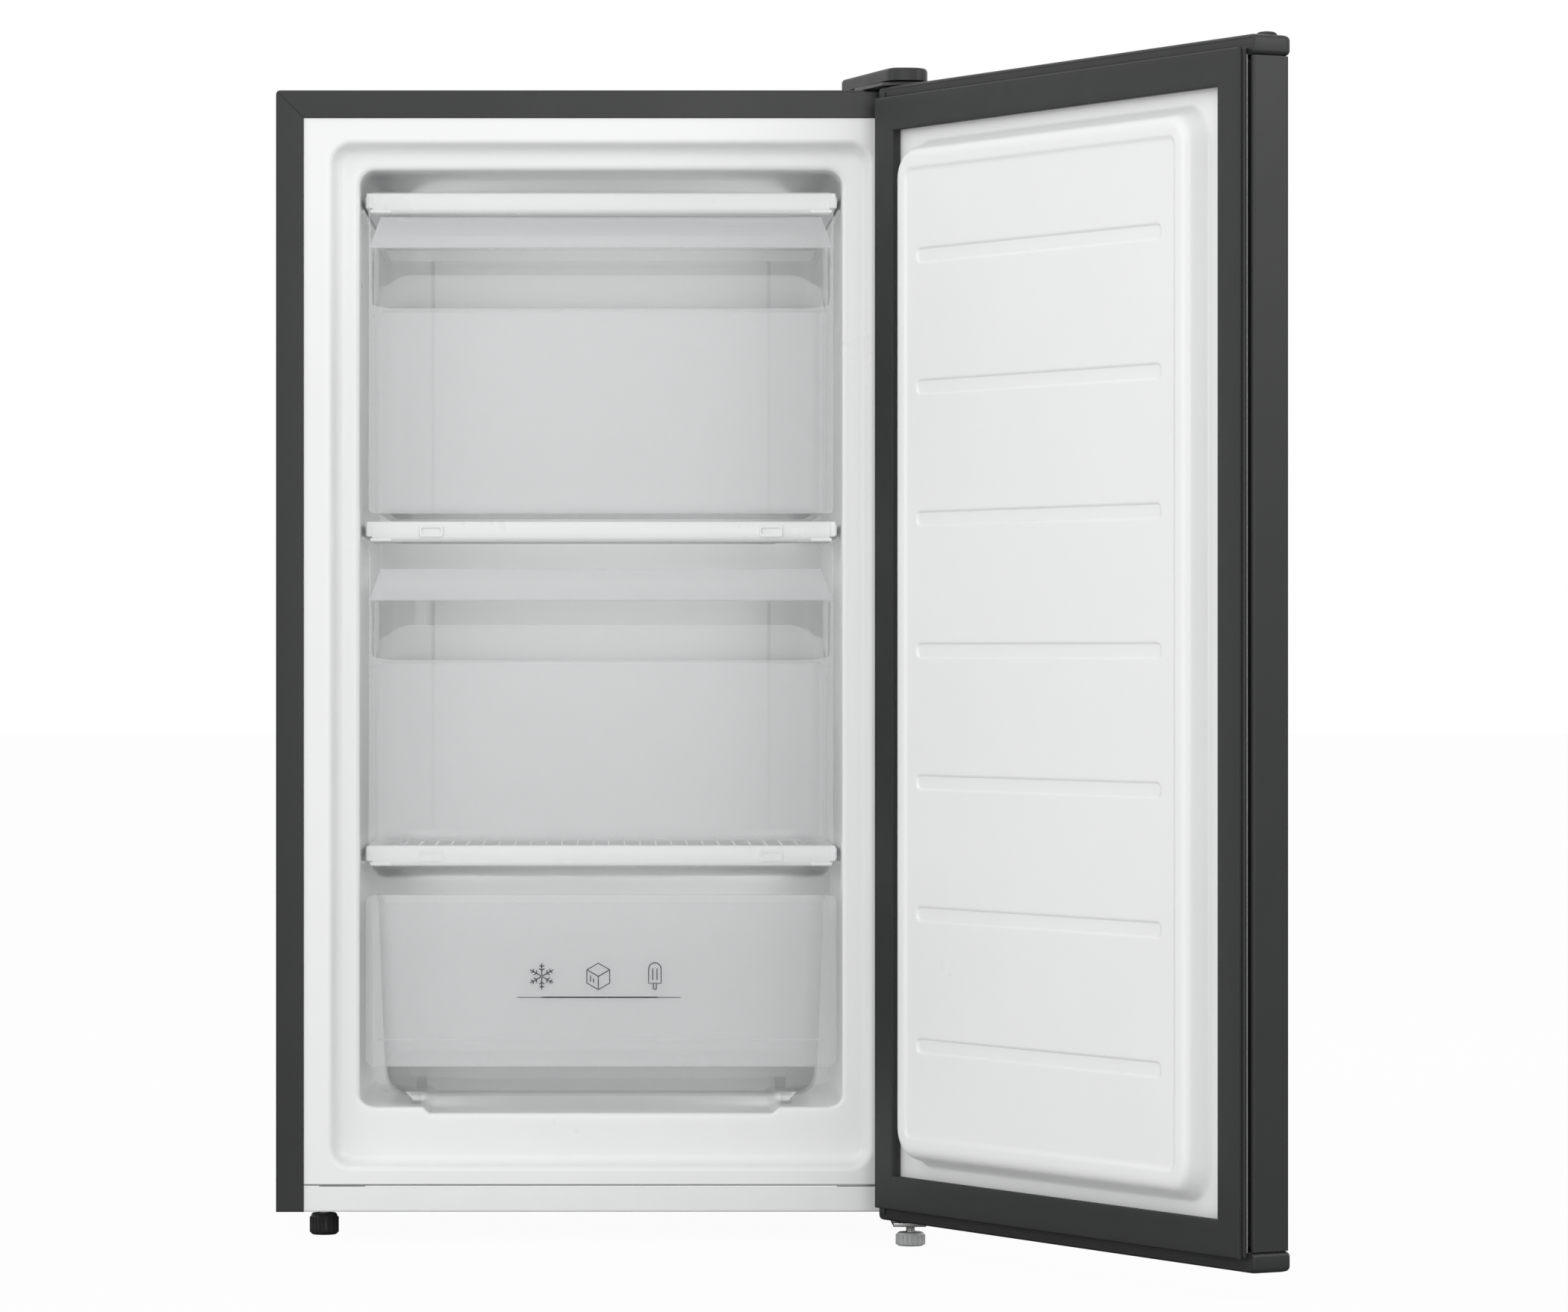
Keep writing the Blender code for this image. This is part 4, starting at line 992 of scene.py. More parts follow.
def make_tall_drawer(name, body, low, tub_low):
    """A deep drawer: tub, tall front with its hand hole, flared pull and the scoop behind it."""
    high = low + FRONT_HIGH
    rim = high - 0.032
    front_rim = high - 0.0895
    front, back, half = DRAWER_FACE + 0.0033, 0.355, 0.168

    def ring(inset, t, drop=0.0, out=0.0):
        """One course of the tub, t of the way up to its stepped rim."""
        loop = []
        for x, y in plan_outline(half - inset + out, front + inset, back - inset + out,
                                 0.012 - inset, 0.0045):
            up = smoothstep(front + 0.0245, front + 0.0295, y)
            top = front_rim + (rim - front_rim) * up
            loop.append(Vector((x, y, tub_low + drop + (top - tub_low - drop) * t)))
        return loop

    stock = Stock()
    stock.loft([ring(0.0050, 0.0), ring(0.0020, 0.003), ring(0.0006, 0.010), ring(0.0, 0.022),
                ring(0.0, 0.5), ring(0.0, 0.975), ring(0.0, 0.980, out=0.0012), ring(0.0, 1.0, out=0.0012),
                ring(0.0020, 1.0), ring(0.0020, 0.5), ring(0.0022, 0.03, 0.0022),
                ring(0.0042, 0.010, 0.0022), ring(0.0075, 0.0, 0.0024)])
    for i, face in enumerate(stock.faces):
        if max(stock.points[k].y for k in face) < front + 0.0020:
            stock.kinds[i] = 1
    make(name + "_tub", stock, [FROSTED, CLEAR], body, [name])

    stock = Stock()
    y0, y1 = DRAWER_FACE, DRAWER_FACE + 0.003

    def plate(grow, y):
        return frame_loop(0.1726 - grow, low + grow, high - grow, 0.0040 - grow, y)

    def hole(grow, y):
        """The hand hole's edge: its lower corners are long shallow curves."""
        side, foot, turn = 0.1700 + grow, high - 0.0864 - grow, 0.0085 + grow
        made = frame_loop(side, foot, high - 0.0424 + grow, turn, y)
        for p in made:
            if p.z <= foot + turn and abs(p.x) > side - turn - 1e-6:
                p.x = math.copysign(side - (side - abs(p.x)) * 2.5, p.x)
                p.z = foot + (p.z - foot) * 0.42
        return made

    loops = [plate(0.0, y1 - 0.0007), plate(0.0, y0 + 0.0007), plate(0.0002, y0 + 0.0002),
             plate(0.0007, y0),
             hole(0.0007, y0), hole(0.0002, y0 + 0.0002), hole(0.0, y0 + 0.0007), hole(0.0, y1 - 0.0003),
             hole(0.0003, y1), plate(0.0007, y1), plate(0.0002, y1 - 0.0002)]
    count = len(loops[0])
    upper = set(range(14, 28))
    for row in range(len(loops)):
        after = (row + 1) % len(loops)
        for i in range(count):
            j = (i + 1) % count
            quad = [loops[row][i], loops[row][j], loops[after][j], loops[after][i]]
            stock.add(quad, [(0, 1, 2, 3)], 1 if i in upper and j in upper else 0)
    for side in (-1, 1):
        stock.block(sorted((side * 0.1355, side * 0.1435)), (y0 + 0.0004, y0 + 0.0060),
                    (low - 0.0005, low + 0.0012), 0.0004, kind=1)
    flare = [(0.0262, 0.0190), (0.0246, 0.0200), (0.0226, 0.0228), (0.0196, 0.0290), (0.0165, 0.0365),
             (0.0142, 0.0415), (0.0140, 0.0422), (0.0144, 0.0427), (0.0152, 0.0427), (0.0158, 0.0422),
             (0.0182, 0.0370), (0.0212, 0.0300), (0.0240, 0.0250), (0.0265, 0.0235)]
    loops = []
    for share in (-1.0, -0.97, -0.5, 0.0, 0.5, 0.97, 1.0):
        loop = []
        for y, down in flare:
            half_here = 0.1634 + 0.0081 * (down - 0.019) / 0.0234
            loop.append(Vector((share * half_here, y, high - down)))
        loops.append(loop)
    stock.loft(loops, kind=2)
    for side in (-1, 1):
        gusset = []
        for along in (0.0, 0.0014):
            loop = []
            for y, down in ((0.0262, 0.0200), (0.0226, 0.0234), (0.0196, 0.0296), (0.0165, 0.0370),
                            (0.0148, 0.0416), (0.0262, 0.0416)):
                half_here = 0.1634 + 0.0081 * (down - 0.019) / 0.0234
                loop.append(Vector((side * (half_here - along), y, high - down)))
            gusset.append(loop)
        stock.loft(gusset, kind=1)
        stock.rod([(side * 0.0016, 0.0141, high - 0.0424), (side * 0.0001, 0.0140, high - 0.0443)],
                  0.00022, 6, 1)
    # The pull's finish carries a darker grey as painted shade for its down-slanting face.
    make(name + "_face", stock, [FROSTED, CLEAR, SHADED_PULL], body, [name + "_front"],
         smooth=44.0)

    stock = Stock()
    stations = [0.0, 0.06, 0.11, 0.128, 0.138, 0.146, 0.152, 0.157, 0.1608, 0.1636, 0.1652]
    stations = [-x for x in reversed(stations[1:])] + stations
    loops = []
    for x in stations:
        away = min(max((abs(x) - 0.128) / 0.0376, 0.0), 1.0)
        reach = 0.0250 * math.sqrt(max(1.0 - away * away, 0.0)) + 0.0005
        dip = 0.0112 * smoothstep(0.143, 0.1690, abs(x))
        lip = 0.0605 + dip
        inner = []
        for k in range(7):
            t = math.radians(90.0 * k / 6)
            inner.append((0.0290 + reach * math.sin(t), 0.0872 - (0.0872 - lip) * (1.0 - math.cos(t))))
        inner += [(0.0292 + reach, (lip + 0.0424) / 2.0), (0.0294 + reach, 0.0424)]
        outer = [(y + 0.0013, down + (0.0013 if k < 4 else 0.0)) for k, (y, down) in enumerate(inner)]
        loops.append([Vector((x, y, high - down)) for y, down in inner + list(reversed(outer))])
    count = len(loops[0])
    for row in range(len(loops) - 1):
        for i in range(count):
            j = (i + 1) % count
            quad = [loops[row][i], loops[row][j], loops[row + 1][j], loops[row + 1][i]]
            low_part = i < 6 or i >= count - 7
            stock.add(quad, [(0, 1, 2, 3)], 0 if low_part else 1)
    stock.add(loops[0], [tuple(range(count))], 1)
    stock.add(loops[-1], [tuple(reversed(range(count)))], 1)
    make(name + "_scoop", stock, [HAZED, CLEAR], body, (), smooth=44.0)


def make_low_drawer():
    """The shallow drawer: tapered tub with a round bottom edge, and its wide front plate."""
    stock = Stock()

    def course(z, half, front, back, radius, grow=0.0):
        return [Vector((x, y, z)) for x, y in plan_outline(half + grow, front - grow, back + grow, radius)]

    outside, inside = [], []
    for k in range(6):
        t = math.radians(90.0 * k / 5)
        pull = 0.0150 * (1.0 - math.sin(t))
        rise = 0.0150 * (1.0 - math.cos(t))
        outside.append(course(0.105 + rise, 0.1606 - pull, 0.0345 + pull * 0.5, 0.2285 - pull * 0.5,
                              0.0140))
        inside.append(course(0.1068 + rise, 0.1590 - pull, 0.0361 + pull * 0.5, 0.2269 - pull * 0.5,
                             0.0125))
    outside += [course(*row) for row in (
        (0.1275, 0.1611, 0.0342, 0.2288, 0.014), (0.180, 0.1633, 0.0332, 0.2302, 0.014),
        (0.2505, 0.1658, 0.0320, 0.2318, 0.014), (0.2512, 0.1668, 0.0318, 0.2326, 0.0145),
        (0.2545, 0.1669, 0.0318, 0.2326, 0.0145), (0.2550, 0.1664, 0.0320, 0.2322, 0.0140))]
    inside += [course(*row) for row in (
        (0.1275, 0.1594, 0.0359, 0.2271, 0.0125), (0.180, 0.1616, 0.0349, 0.2285, 0.0125),
        (0.2545, 0.1642, 0.0336, 0.2302, 0.0125))]
    stock.loft(outside + list(reversed(inside)))
    for p in stock.points:
        p.z -= 0.0135 * smoothstep(0.045, 0.200, p.y) * smoothstep(0.200, 0.250, p.z)
    for side in (-1, 1):
        for y in (0.046, 0.201):
            stock.block(sorted((side * 0.1340, side * 0.1420)), (y, y + 0.010), (0.0989, 0.1085), 0.0012)
        stock.turned([(0.0021, 0.0004), (0.0021, -0.0006), (0.0012, -0.0010), (0.0003, -0.0011)],
                     (side * 0.1392, 0.0344, 0.1218), "Y", 14)
    for i, face in enumerate(stock.faces):
        if sum(stock.points[k].z for k in face) / len(face) < 0.140:
            stock.kinds[i] = 1
    make("low_drawer_tub", stock, [FROSTED, CLEAR], "bottom_drawer", ["bottom_drawer"])

    stock = Stock()
    y0, y1 = 0.0285, 0.0315

    def plate(grow, y):
        return frame_loop(0.1750 - grow, 0.127 + grow, 0.2550 - grow, 0.0065 - grow, y)

    stock.loft([plate(grow, y) for grow, y in (
        (0.0009, y1), (0.0, y1 - 0.0008), (0.0, y0 + 0.0008), (0.0002, y0 + 0.0003),
        (0.0009, y0), (0.0022, y0), (0.0026, y0 + 0.0004), (0.0030, y0 + 0.0005))])
    stock.block((-0.1655, 0.1655), (y0 - 0.0003, y0 + 0.0012), (0.1470, 0.1482), 0.0003)
    make("low_drawer_plate", stock, HAZED, "bottom_drawer", ["bottom_drawer_front"])
    make_drawer_marks(y0 + 0.0004)


def ribbon(stock, path, width, y, shut=False):
    """A thin printed line of even width along (x, z) points."""
    points = [Vector(p) for p in path]
    count = len(points)
    loops = []
    for i, p in enumerate(points):
        before = points[i - 1] if (i or shut) else p
        after = points[(i + 1) % count] if (i < count - 1 or shut) else p
        run = (after - before).normalized()
        side = Vector((-run.y, run.x)) * width / 2.0
        loops.append([Vector((p.x + side.x, y, p.y + side.y)), Vector((p.x - side.x, y, p.y - side.y)),
                      Vector((p.x - side.x, y - 0.00015, p.y - side.y)),
                      Vector((p.x + side.x, y - 0.00015, p.y + side.y))])
    stock.loft(loops, ring=shut)


def make_drawer_marks(y):
    """Three plain storage marks over a rule: a snow star, an ice cube and an ice lolly."""
    stock = Stock()
    line = 0.00068
    cx, cz, reach = -0.0440, 0.1945, 0.0098
    for k in range(6):
        t = math.radians(90.0 + 60.0 * k)
        d = Vector((math.cos(t), math.sin(t)))
        ribbon(stock, [Vector((cx, cz)) + d * 0.0004, Vector((cx, cz)) + d * reach], line, y)
        for share, size in ((0.45, 0.0024), (0.72, 0.0020)):
            knee = Vector((cx, cz)) + d * reach * share
            for turn in (-1, 1):
                a = t + turn * math.radians(55.0)
                ribbon(stock, [knee, knee + Vector((math.cos(a), math.sin(a))) * size], line, y)
    cx, cz, r = -0.0020, 0.1945, 0.0098
    corner = []
    for k in range(6):
        t = math.radians(30 + 60 * k)
        corner.append(Vector((cx + r * math.cos(t), cz + r * math.sin(t))))
    ribbon(stock, corner, line, y, shut=True)
    for k in (0, 2, 4):
        ribbon(stock, [Vector((cx, cz)), corner[k]], line, y)

    def stroke(points, width=line, shut=False):
        """A printed line through points given from the mark's middle."""
        ribbon(stock, [Vector((cx + x, cz + z)) for x, z in points], width, y, shut)

    stroke([(-0.0058, -0.0040), (-0.0058, 0.0008)])
    stroke([(-0.0036, -0.0046), (-0.0036, -0.0016)])
    cx, cz, half = 0.0400, 0.1962, 0.0046
    body = [(-half, -0.0068), (-half, 0.0030)]
    for a in range(170, 5, -20):
        t = math.radians(a)
        body.append((half * math.cos(t), 0.0038 + half * math.sin(t)))
    stroke(body + [(half, 0.0030), (half, -0.0068)], shut=True)
    for side in (-1, 1):
        stroke([(side * 0.0016, -0.0044), (side * 0.0016, 0.0042)])
        stroke([(side * 0.0011, -0.0068), (side * 0.0011, -0.0112)])
    stroke([(-0.0011, -0.0112), (0.0011, -0.0112)])
    cx, cz = 0.0, 0.1790
    stroke([(-0.0620, 0.0), (0.0590, 0.0)], 0.00045)
    stroke([(-0.0440, 0.0), (0.0420, 0.0)], 0.00090)
    make("drawer_marks", stock, INK, "bottom_drawer", ())


# ---- hinges ------------------------------------------------------------------
def make_hinge_cover():
    """The slim lid over the top hinge, slanted to a rounded nose."""
    nose = [(0.2105, -0.0405), (0.2125, -0.0430), (0.2165, -0.0447), (0.2230, -0.0449), (0.2300, -0.0439),
            (0.2345, -0.0415), (0.2375, -0.0380), (0.2390, -0.0335), (0.2395, -0.0280), (0.2395, 0.0615),
            (0.2388, 0.0640), (0.2365, 0.0650), (0.1830, 0.0650), (0.1808, 0.0643), (0.1800, 0.0620),
            (0.1801, 0.0590), (0.1806, 0.0560), (0.2085, -0.0360)]
    low, high = CAB_TOP + 0.0031, 0.863
    middle = Vector((0.212, 0.012))
    loops = []
    for shrink, z in ((0.0012, low), (0.0, low + 0.0006), (0.0, high - 0.0024), (0.0005, high - 0.0011),
                      (0.0016, high - 0.0003), (0.0034, high)):
        loop = []
        count = len(nose)
        for i, (x, y) in enumerate(nose):
            before, after = Vector(nose[i - 1]), Vector(nose[(i + 1) % count])
            run = (after - before).normalized()
            inward = Vector((-run.y, run.x))
            if inward.dot(middle - Vector((x, y))) < 0.0:
                inward = -inward
            spot = Vector((x, y)) + inward * shrink
            loop.append(Vector((spot.x, spot.y, z)))
        loops.append(loop)
    stock = Stock()
    stock.loft(loops)
    make("hinge_lid", stock, CHARCOAL_MOULDED, "cabinet", ["hinge_cover"])


# ---- back, machine space and controls ----------------------------------------
def node_box(cad_name):
    """A CAD node's box in the cabinet's frame."""
    low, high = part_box(cad_name)
    return low - MIDDLE, high - MIDDLE


def pressed_sheet(stock, xs, zs, outside, thick, kind=0):
    """A closed thin sheet whose outer face follows outside(x, z)."""
    wide, rows = len(xs), len(zs)
    points = [Vector((x, outside(x, z) - back, z)) for back in (0.0, thick) for z in zs for x in xs]
    faces = []
    far = wide * rows
    for r in range(rows - 1):
        for c in range(wide - 1):
            a = r * wide + c
            faces.append((a, a + wide, a + wide + 1, a + 1))
            faces.append((far + a, far + a + 1, far + a + wide + 1, far + a + wide))
    rim = [c for c in range(wide)] + [r * wide + wide - 1 for r in range(1, rows)]
    rim += [(rows - 1) * wide + c for c in range(wide - 2, -1, -1)]
    rim += [r * wide for r in range(rows - 2, 0, -1)]
    for i, a in enumerate(rim):
        b = rim[(i + 1) % len(rim)]
        faces.append((a, b, far + b, far + a))
    stock.add(points, faces, kind)


def make_back_panel():
    """The rear sheet: three long pressed ribs, a pressed border and its screws."""
    low, high = node_box("back_panel")
    ribs = (-0.075, 0.0, 0.075)
    foot, head = 0.285, 0.735
    xs = sorted([low.x, low.x + 0.006, low.x + 0.009, -0.20, -0.15, 0.15, 0.20, high.x - 0.009,
                 high.x - 0.006, high.x] + [rib + step for rib in ribs for step in (
                     -0.0125, -0.0105, -0.0085, -0.0065, -0.003, 0.0, 0.003, 0.0065, 0.0085, 0.0105, 0.0125)])
    zs = sorted([low.z, low.z + 0.006, low.z + 0.009, high.z - 0.009, high.z - 0.006, high.z, 0.36, 0.44,
                 0.52, 0.60, 0.68] + [end + step for end in (foot, head) for step in (
                     -0.0125, -0.0105, -0.0085, -0.0065, -0.003, 0.0)])

    def outside(x, z):
        """The sheet's face: ribs with round ends stand out, the border steps in a little."""
        rise = 0.0
        for rib in ribs:
            away = math.hypot(x - rib, max(foot - z, z - head, 0.0))
            rise = max(rise, 0.0018 * (1.0 - smoothstep(0.0060, 0.0110, away)))
        edge = min(x - low.x, high.x - x, z - low.z, high.z - z)
        return high.y - 0.0004 + rise + 0.0004 * (1.0 - smoothstep(0.006, 0.009, edge))

    stock = Stock()
    pressed_sheet(stock, xs, zs, outside, 0.0007)
    for count, first, pitch in ((5, (-0.200, high.y, high.z - 0.0060), (0.100, 0.0, 0.0)),
                                (4, (-0.2330, high.y, 0.300), (0.0, 0.0, 0.150)),
                                (4, (0.2330, high.y, 0.300), (0.0, 0.0, 0.150)),
                                (3, (-0.100, high.y, low.z + 0.0060), (0.100, 0.0, 0.0))):
        take_tree(stock, SCREW_ROW, {"Count": count, "First": Vector(first), "Pitch": Vector(pitch),
                                     "Finish": PLATED}, 1)
    make("rear_sheet", stock, [ZINC, PLATED], "cabinet", ["back_panel"])


def make_condenser():
    """The condenser: the bent tube with upright wires welded on both faces."""
    low, high = node_box("condenser_coil")
    soften("condenser_tube", "condenser_coil", ENAMEL, "cabinet", 0.0, 1)
    stock = Stock()
    for y in (low.y + 0.0005, high.y - 0.0007):
        take_tree(stock, ROD_ROW, {
            "Count": 34, "First": Vector((low.x + 0.0065, y, (low.z + high.z) / 2.0)),
            "Pitch": Vector(((high.x - low.x - 0.013) / 33.0, 0.0, 0.0)),
            "Length": high.z - low.z + 0.010, "Thickness": 0.0013, "Finish": ENAMEL})
    make("condenser_wires", stock, ENAMEL, "cabinet", (), smooth=60.0)


def make_compressor():
    """The welded can with its seam, pipe stubs, pressed foot plate and grommet washers."""
    cx, cy = 0.060, 0.366
    rows = [(0.30, 0.0425), (0.62, 0.0432), (0.80, 0.0462), (0.915, 0.0535), (0.962, 0.0640), (0.972, 0.0800),
            (0.972, 0.1006), (0.996, 0.1012), (1.0, 0.1030), (1.0, 0.1056), (0.996, 0.1066), (0.984, 0.1070),
            (0.984, 0.1240), (0.974, 0.1420), (0.93, 0.1590), (0.83, 0.1710), (0.66, 0.1790), (0.42, 0.1828),
            (0.12, 0.1840)]
    stock = Stock()
    stock.loft([[Vector((cx + 0.074 * share * math.cos(t), cy + 0.054 * share * math.sin(t), z))
                 for t in (2.0 * math.pi * k / 56 for k in range(56))] for share, z in rows])
    low, high = node_box("compressor")
    radius, notch = 0.012, 0.016
    outline = []
    for x, y, start in ((low.x, low.y, 180.0), (high.x, low.y, 270.0), (high.x, high.y, 0.0),
                        (low.x, high.y, 90.0)):
        mx = x + (radius if x == low.x else -radius)
        my = y + (radius if y == low.y else -radius)
        for k in range(7):
            t = math.radians(start + 15.0 * k)
            outline.append((mx + radius * math.cos(t), my + radius * math.sin(t)))
        if x == low.x and y == low.y:
            outline += [(0.010, low.y), (0.022, low.y + notch), (0.098, low.y + notch), (0.110, low.y)]
        if x == high.x and y == high.y:
            outline += [(0.110, high.y), (0.098, high.y - notch), (0.022, high.y - notch), (0.010, high.y)]
    middle = Vector(((low.x + high.x) / 2.0, (low.y + high.y) / 2.0))
    loops = []
    for shrink, z in ((0.992, 0.0384), (1.0, 0.0389), (1.0, 0.0407), (0.992, 0.0412)):
        loops.append([Vector((middle.x + (x - middle.x) * shrink, middle.y + (y - middle.y) * shrink, z))
                      for x, y in outline])
    stock.loft(loops)
    stock.turned([(0.036, 0.0), (0.036, 0.0012), (0.028, 0.0022), (0.024, 0.0034)], (cx, cy, 0.0408),
                 sides=36)
    stock.rod([(0.124, 0.366, 0.090), (0.1383, 0.366, 0.090)], 0.0034, 14, 1)
    stock.rod([(0.122, 0.352, 0.070), (0.1383, 0.352, 0.070)], 0.0043, 14, 1)
    stub = [(0.112, 0.335, 0.118), (0.1185, 0.3315, 0.119), (0.1225, 0.3295, 0.124), (0.1235, 0.329, 0.131),
            (0.1235, 0.329, 0.156)]
    stock.rod(stub, 0.0032, 12, 1)
    stock.block((0.1203, 0.1267), (0.3284, 0.3296), (0.1555, 0.1640), 0.0004, kind=1)
    make("compressor_can", stock, [ENAMEL, COPPER], "cabinet", ["compressor"])


def make_mounts():
    """The rubber grommets under the compressor's foot plate, grooved and tapered."""
    for i in range(1, 5):
        name = "rubber_mount_%d" % i
        low, high = node_box(name)
        radius, tall = (high.x - low.x) / 2.0, high.z - low.z
        rows = [(0.90, 0.0), (1.0, 0.05), (1.0, 0.22), (0.92, 0.29), (0.76, 0.33), (0.72, 0.42), (0.76, 0.50),
                (0.95, 0.55), (0.95, 0.72), (0.80, 0.80), (0.72, 0.86), (0.72, 0.95), (0.62, 1.0)]
        stock = Stock()
        stock.turned([(radius * r, tall * h) for r, h in rows],
                     ((low.x + high.x) / 2.0, (low.y + high.y) / 2.0, low.z), sides=28)
        make("grommet_%d" % i, stock, RUBBER, "cabinet", [name])


def make_relay_cover():
    """The moulded cover on the compressor's terminals, ribbed, with its wire clip."""
    low, high = node_box("relay_cover")
    stock = Stock()
    stock.block((low.x, high.x), (low.y, high.y), (low.z, high.z), 0.0026, 4)
    for k in range(5):
        z = low.z + 0.011 + k * 0.0082
        stock.block((low.x - 0.0009, low.x + 0.002), (low.y + 0.006, high.y - 0.006),
                    (z, z + 0.0026), 0.0005)
    stock.block((high.x - 0.001, high.x + 0.0042), (low.y + 0.006, high.y - 0.006),
                (low.z + 0.008, high.z - 0.008), 0.0012)
    stock.rod([(high.x + 0.001, low.y - 0.0008, 0.098), (low.x + 0.004, low.y - 0.0008, 0.098),
               (low.x - 0.0007, low.y + 0.003, 0.098), (low.x - 0.0013, low.y + 0.008, 0.098),
               (low.x - 0.0013, high.y - 0.008, 0.098), (low.x - 0.0007, high.y - 0.003, 0.098),
               (low.x + 0.004, high.y + 0.0008, 0.098), (high.x + 0.001, high.y + 0.0008, 0.098)],
              0.0009, 8, 1)
    make("terminal_cover", stock, [RUBBER, PLATED], "cabinet", ["relay_cover"])


def make_drier():
    """The copper drier, swaged at both ends, with its inlet pipe and coiled capillary."""
    low, high = node_box("filter_drier")
    cx, cy = (low.x + high.x) / 2.0, (low.y + high.y) / 2.0
    radius, tall = (high.x - low.x) / 2.0, high.z - low.z
    rows = [(0.16, 0.0), (0.16, 0.045), (0.34, 0.065), (0.82, 0.125), (0.97, 0.165), (1.0, 0.185), (1.0, 0.22),
            (0.965, 0.228), (0.965, 0.242), (1.0, 0.25), (1.0, 0.79), (0.965, 0.80), (0.965, 0.815),
            (1.0, 0.825), (0.97, 0.85), (0.70, 0.90), (0.36, 0.945), (0.25, 0.955), (0.25, 1.0)]
    stock = Stock()
    stock.turned([(radius * r, tall * h) for r, h in rows], (cx, cy, low.z), sides=28)
    stock.rod([(cx, cy, 0.178), (cx, cy, 0.188), (cx, cy + 0.003, 0.1935), (cx - 0.002, cy + 0.015, 0.1965),
               (cx - 0.005, cy + 0.029, 0.1975), (cx - 0.012, cy + 0.0375, 0.2005),
               (cx - 0.030, 0.4496, 0.2085), (cx - 0.066, 0.4496, 0.2240), (cx - 0.0790, 0.4496, 0.2340),
               (cx - 0.0830, 0.4496, 0.2400)], 0.0021, 10)
    turns = [(cx, cy, 0.0915), (cx + 0.001, cy - 0.001, 0.084), (cx + 0.006, cy - 0.006, 0.078)]
    for k in range(0, 61):
        t = math.radians(150.0 + 18.0 * k)
        turns.append((cx + 0.022 + 0.0155 * math.cos(t), cy - 0.012 + 0.0155 * math.sin(t),
                      0.0745 + 0.00018 * k))
    end = turns[-1]
    turns += [(end[0], end[1] - 0.012, end[2] + 0.003), (end[0] + 0.002, end[1] - 0.040, 0.104),
              (end[0] + 0.003, 0.2925, 0.118)]
    stock.rod(turns, 0.00085, 7)
    make("drier", stock, COPPER, "cabinet", ["filter_drier"])


def make_thermostat():
    """The control box with its screws and tick marks, and the ribbed knob with a pointer."""
    low, high = node_box("thermostat_box")
    knob_low, knob_high = node_box("thermostat_knob")
    cx, cz = (knob_low.x + knob_high.x) / 2.0, (knob_low.z + knob_high.z) / 2.0
    face = high.y
    stock = Stock()
    stock.block((low.x, high.x), (low.y, high.y), (low.z, high.z), 0.0016, 3)
    for k in range(9):
        t = math.radians(225.0 - 33.75 * k)
        ring = 0.0192
        tick = 0.0008 + 0.00022 * k
        along = Vector((math.cos(t), 0.0, math.sin(t)))
        side = Vector((-along.z, 0.0, along.x))
        corner = [Vector((cx, face - 0.0004, cz)) + along * (ring + a) + side * b
                  for a, b in ((0.0, -tick / 2), (0.0032, -tick / 2), (0.0032, tick / 2), (0.0, tick / 2))]
        stock.loft([corner, [p + Vector((0.0, 0.0007, 0.0)) for p in corner]], 1)
    for x, z in ((low.x + 0.006, low.z + 0.006), (high.x - 0.006, low.z + 0.006)):
        take_tree(stock, SCREW_ROW, {"Count": 1, "First": Vector((x, face - 0.0003, z)), "Finish": PLATED}, 2)
    make("control_box", stock, [GREY, WHITE_TRIM, PLATED], "cabinet", ["thermostat_box"])

    radius, deep = (knob_high.x - knob_low.x) / 2.0, knob_high.y - knob_low.y
    stock = Stock()
    stock.turned([(radius * r, deep * h) for r, h in (
        (0.96, 0.0), (1.0, 0.05), (1.0, 0.22), (0.93, 0.30), (0.90, 0.34), (0.87, 0.86), (0.83, 0.94),
        (0.76, 0.985), (0.60, 1.0), (0.54, 0.985), (0.50, 0.95), (0.10, 0.95))], (cx, knob_low.y, cz), "Y", 40)
    take_tree(stock, RIB_RING, {
        "Count": 22, "Centre": Vector((cx, knob_low.y + deep * 0.60, cz)),
        "Turn": Vector((math.pi / 2, 0.0, 0.0)), "Ring Radius": radius * 0.885, "Rib Width": 0.0015,
        "Rib Height": deep * 0.56, "Finish": WHITE_TRIM})
    stock.block((cx - 0.0012, cx + 0.0012), (knob_high.y - 0.0010, knob_high.y + 0.0001),
                (cz + 0.0020, cz + radius * 0.78), 0.0003, kind=1)
    make("knob", stock, [WHITE_TRIM, INK], "thermostat_knob", ["thermostat_knob"])


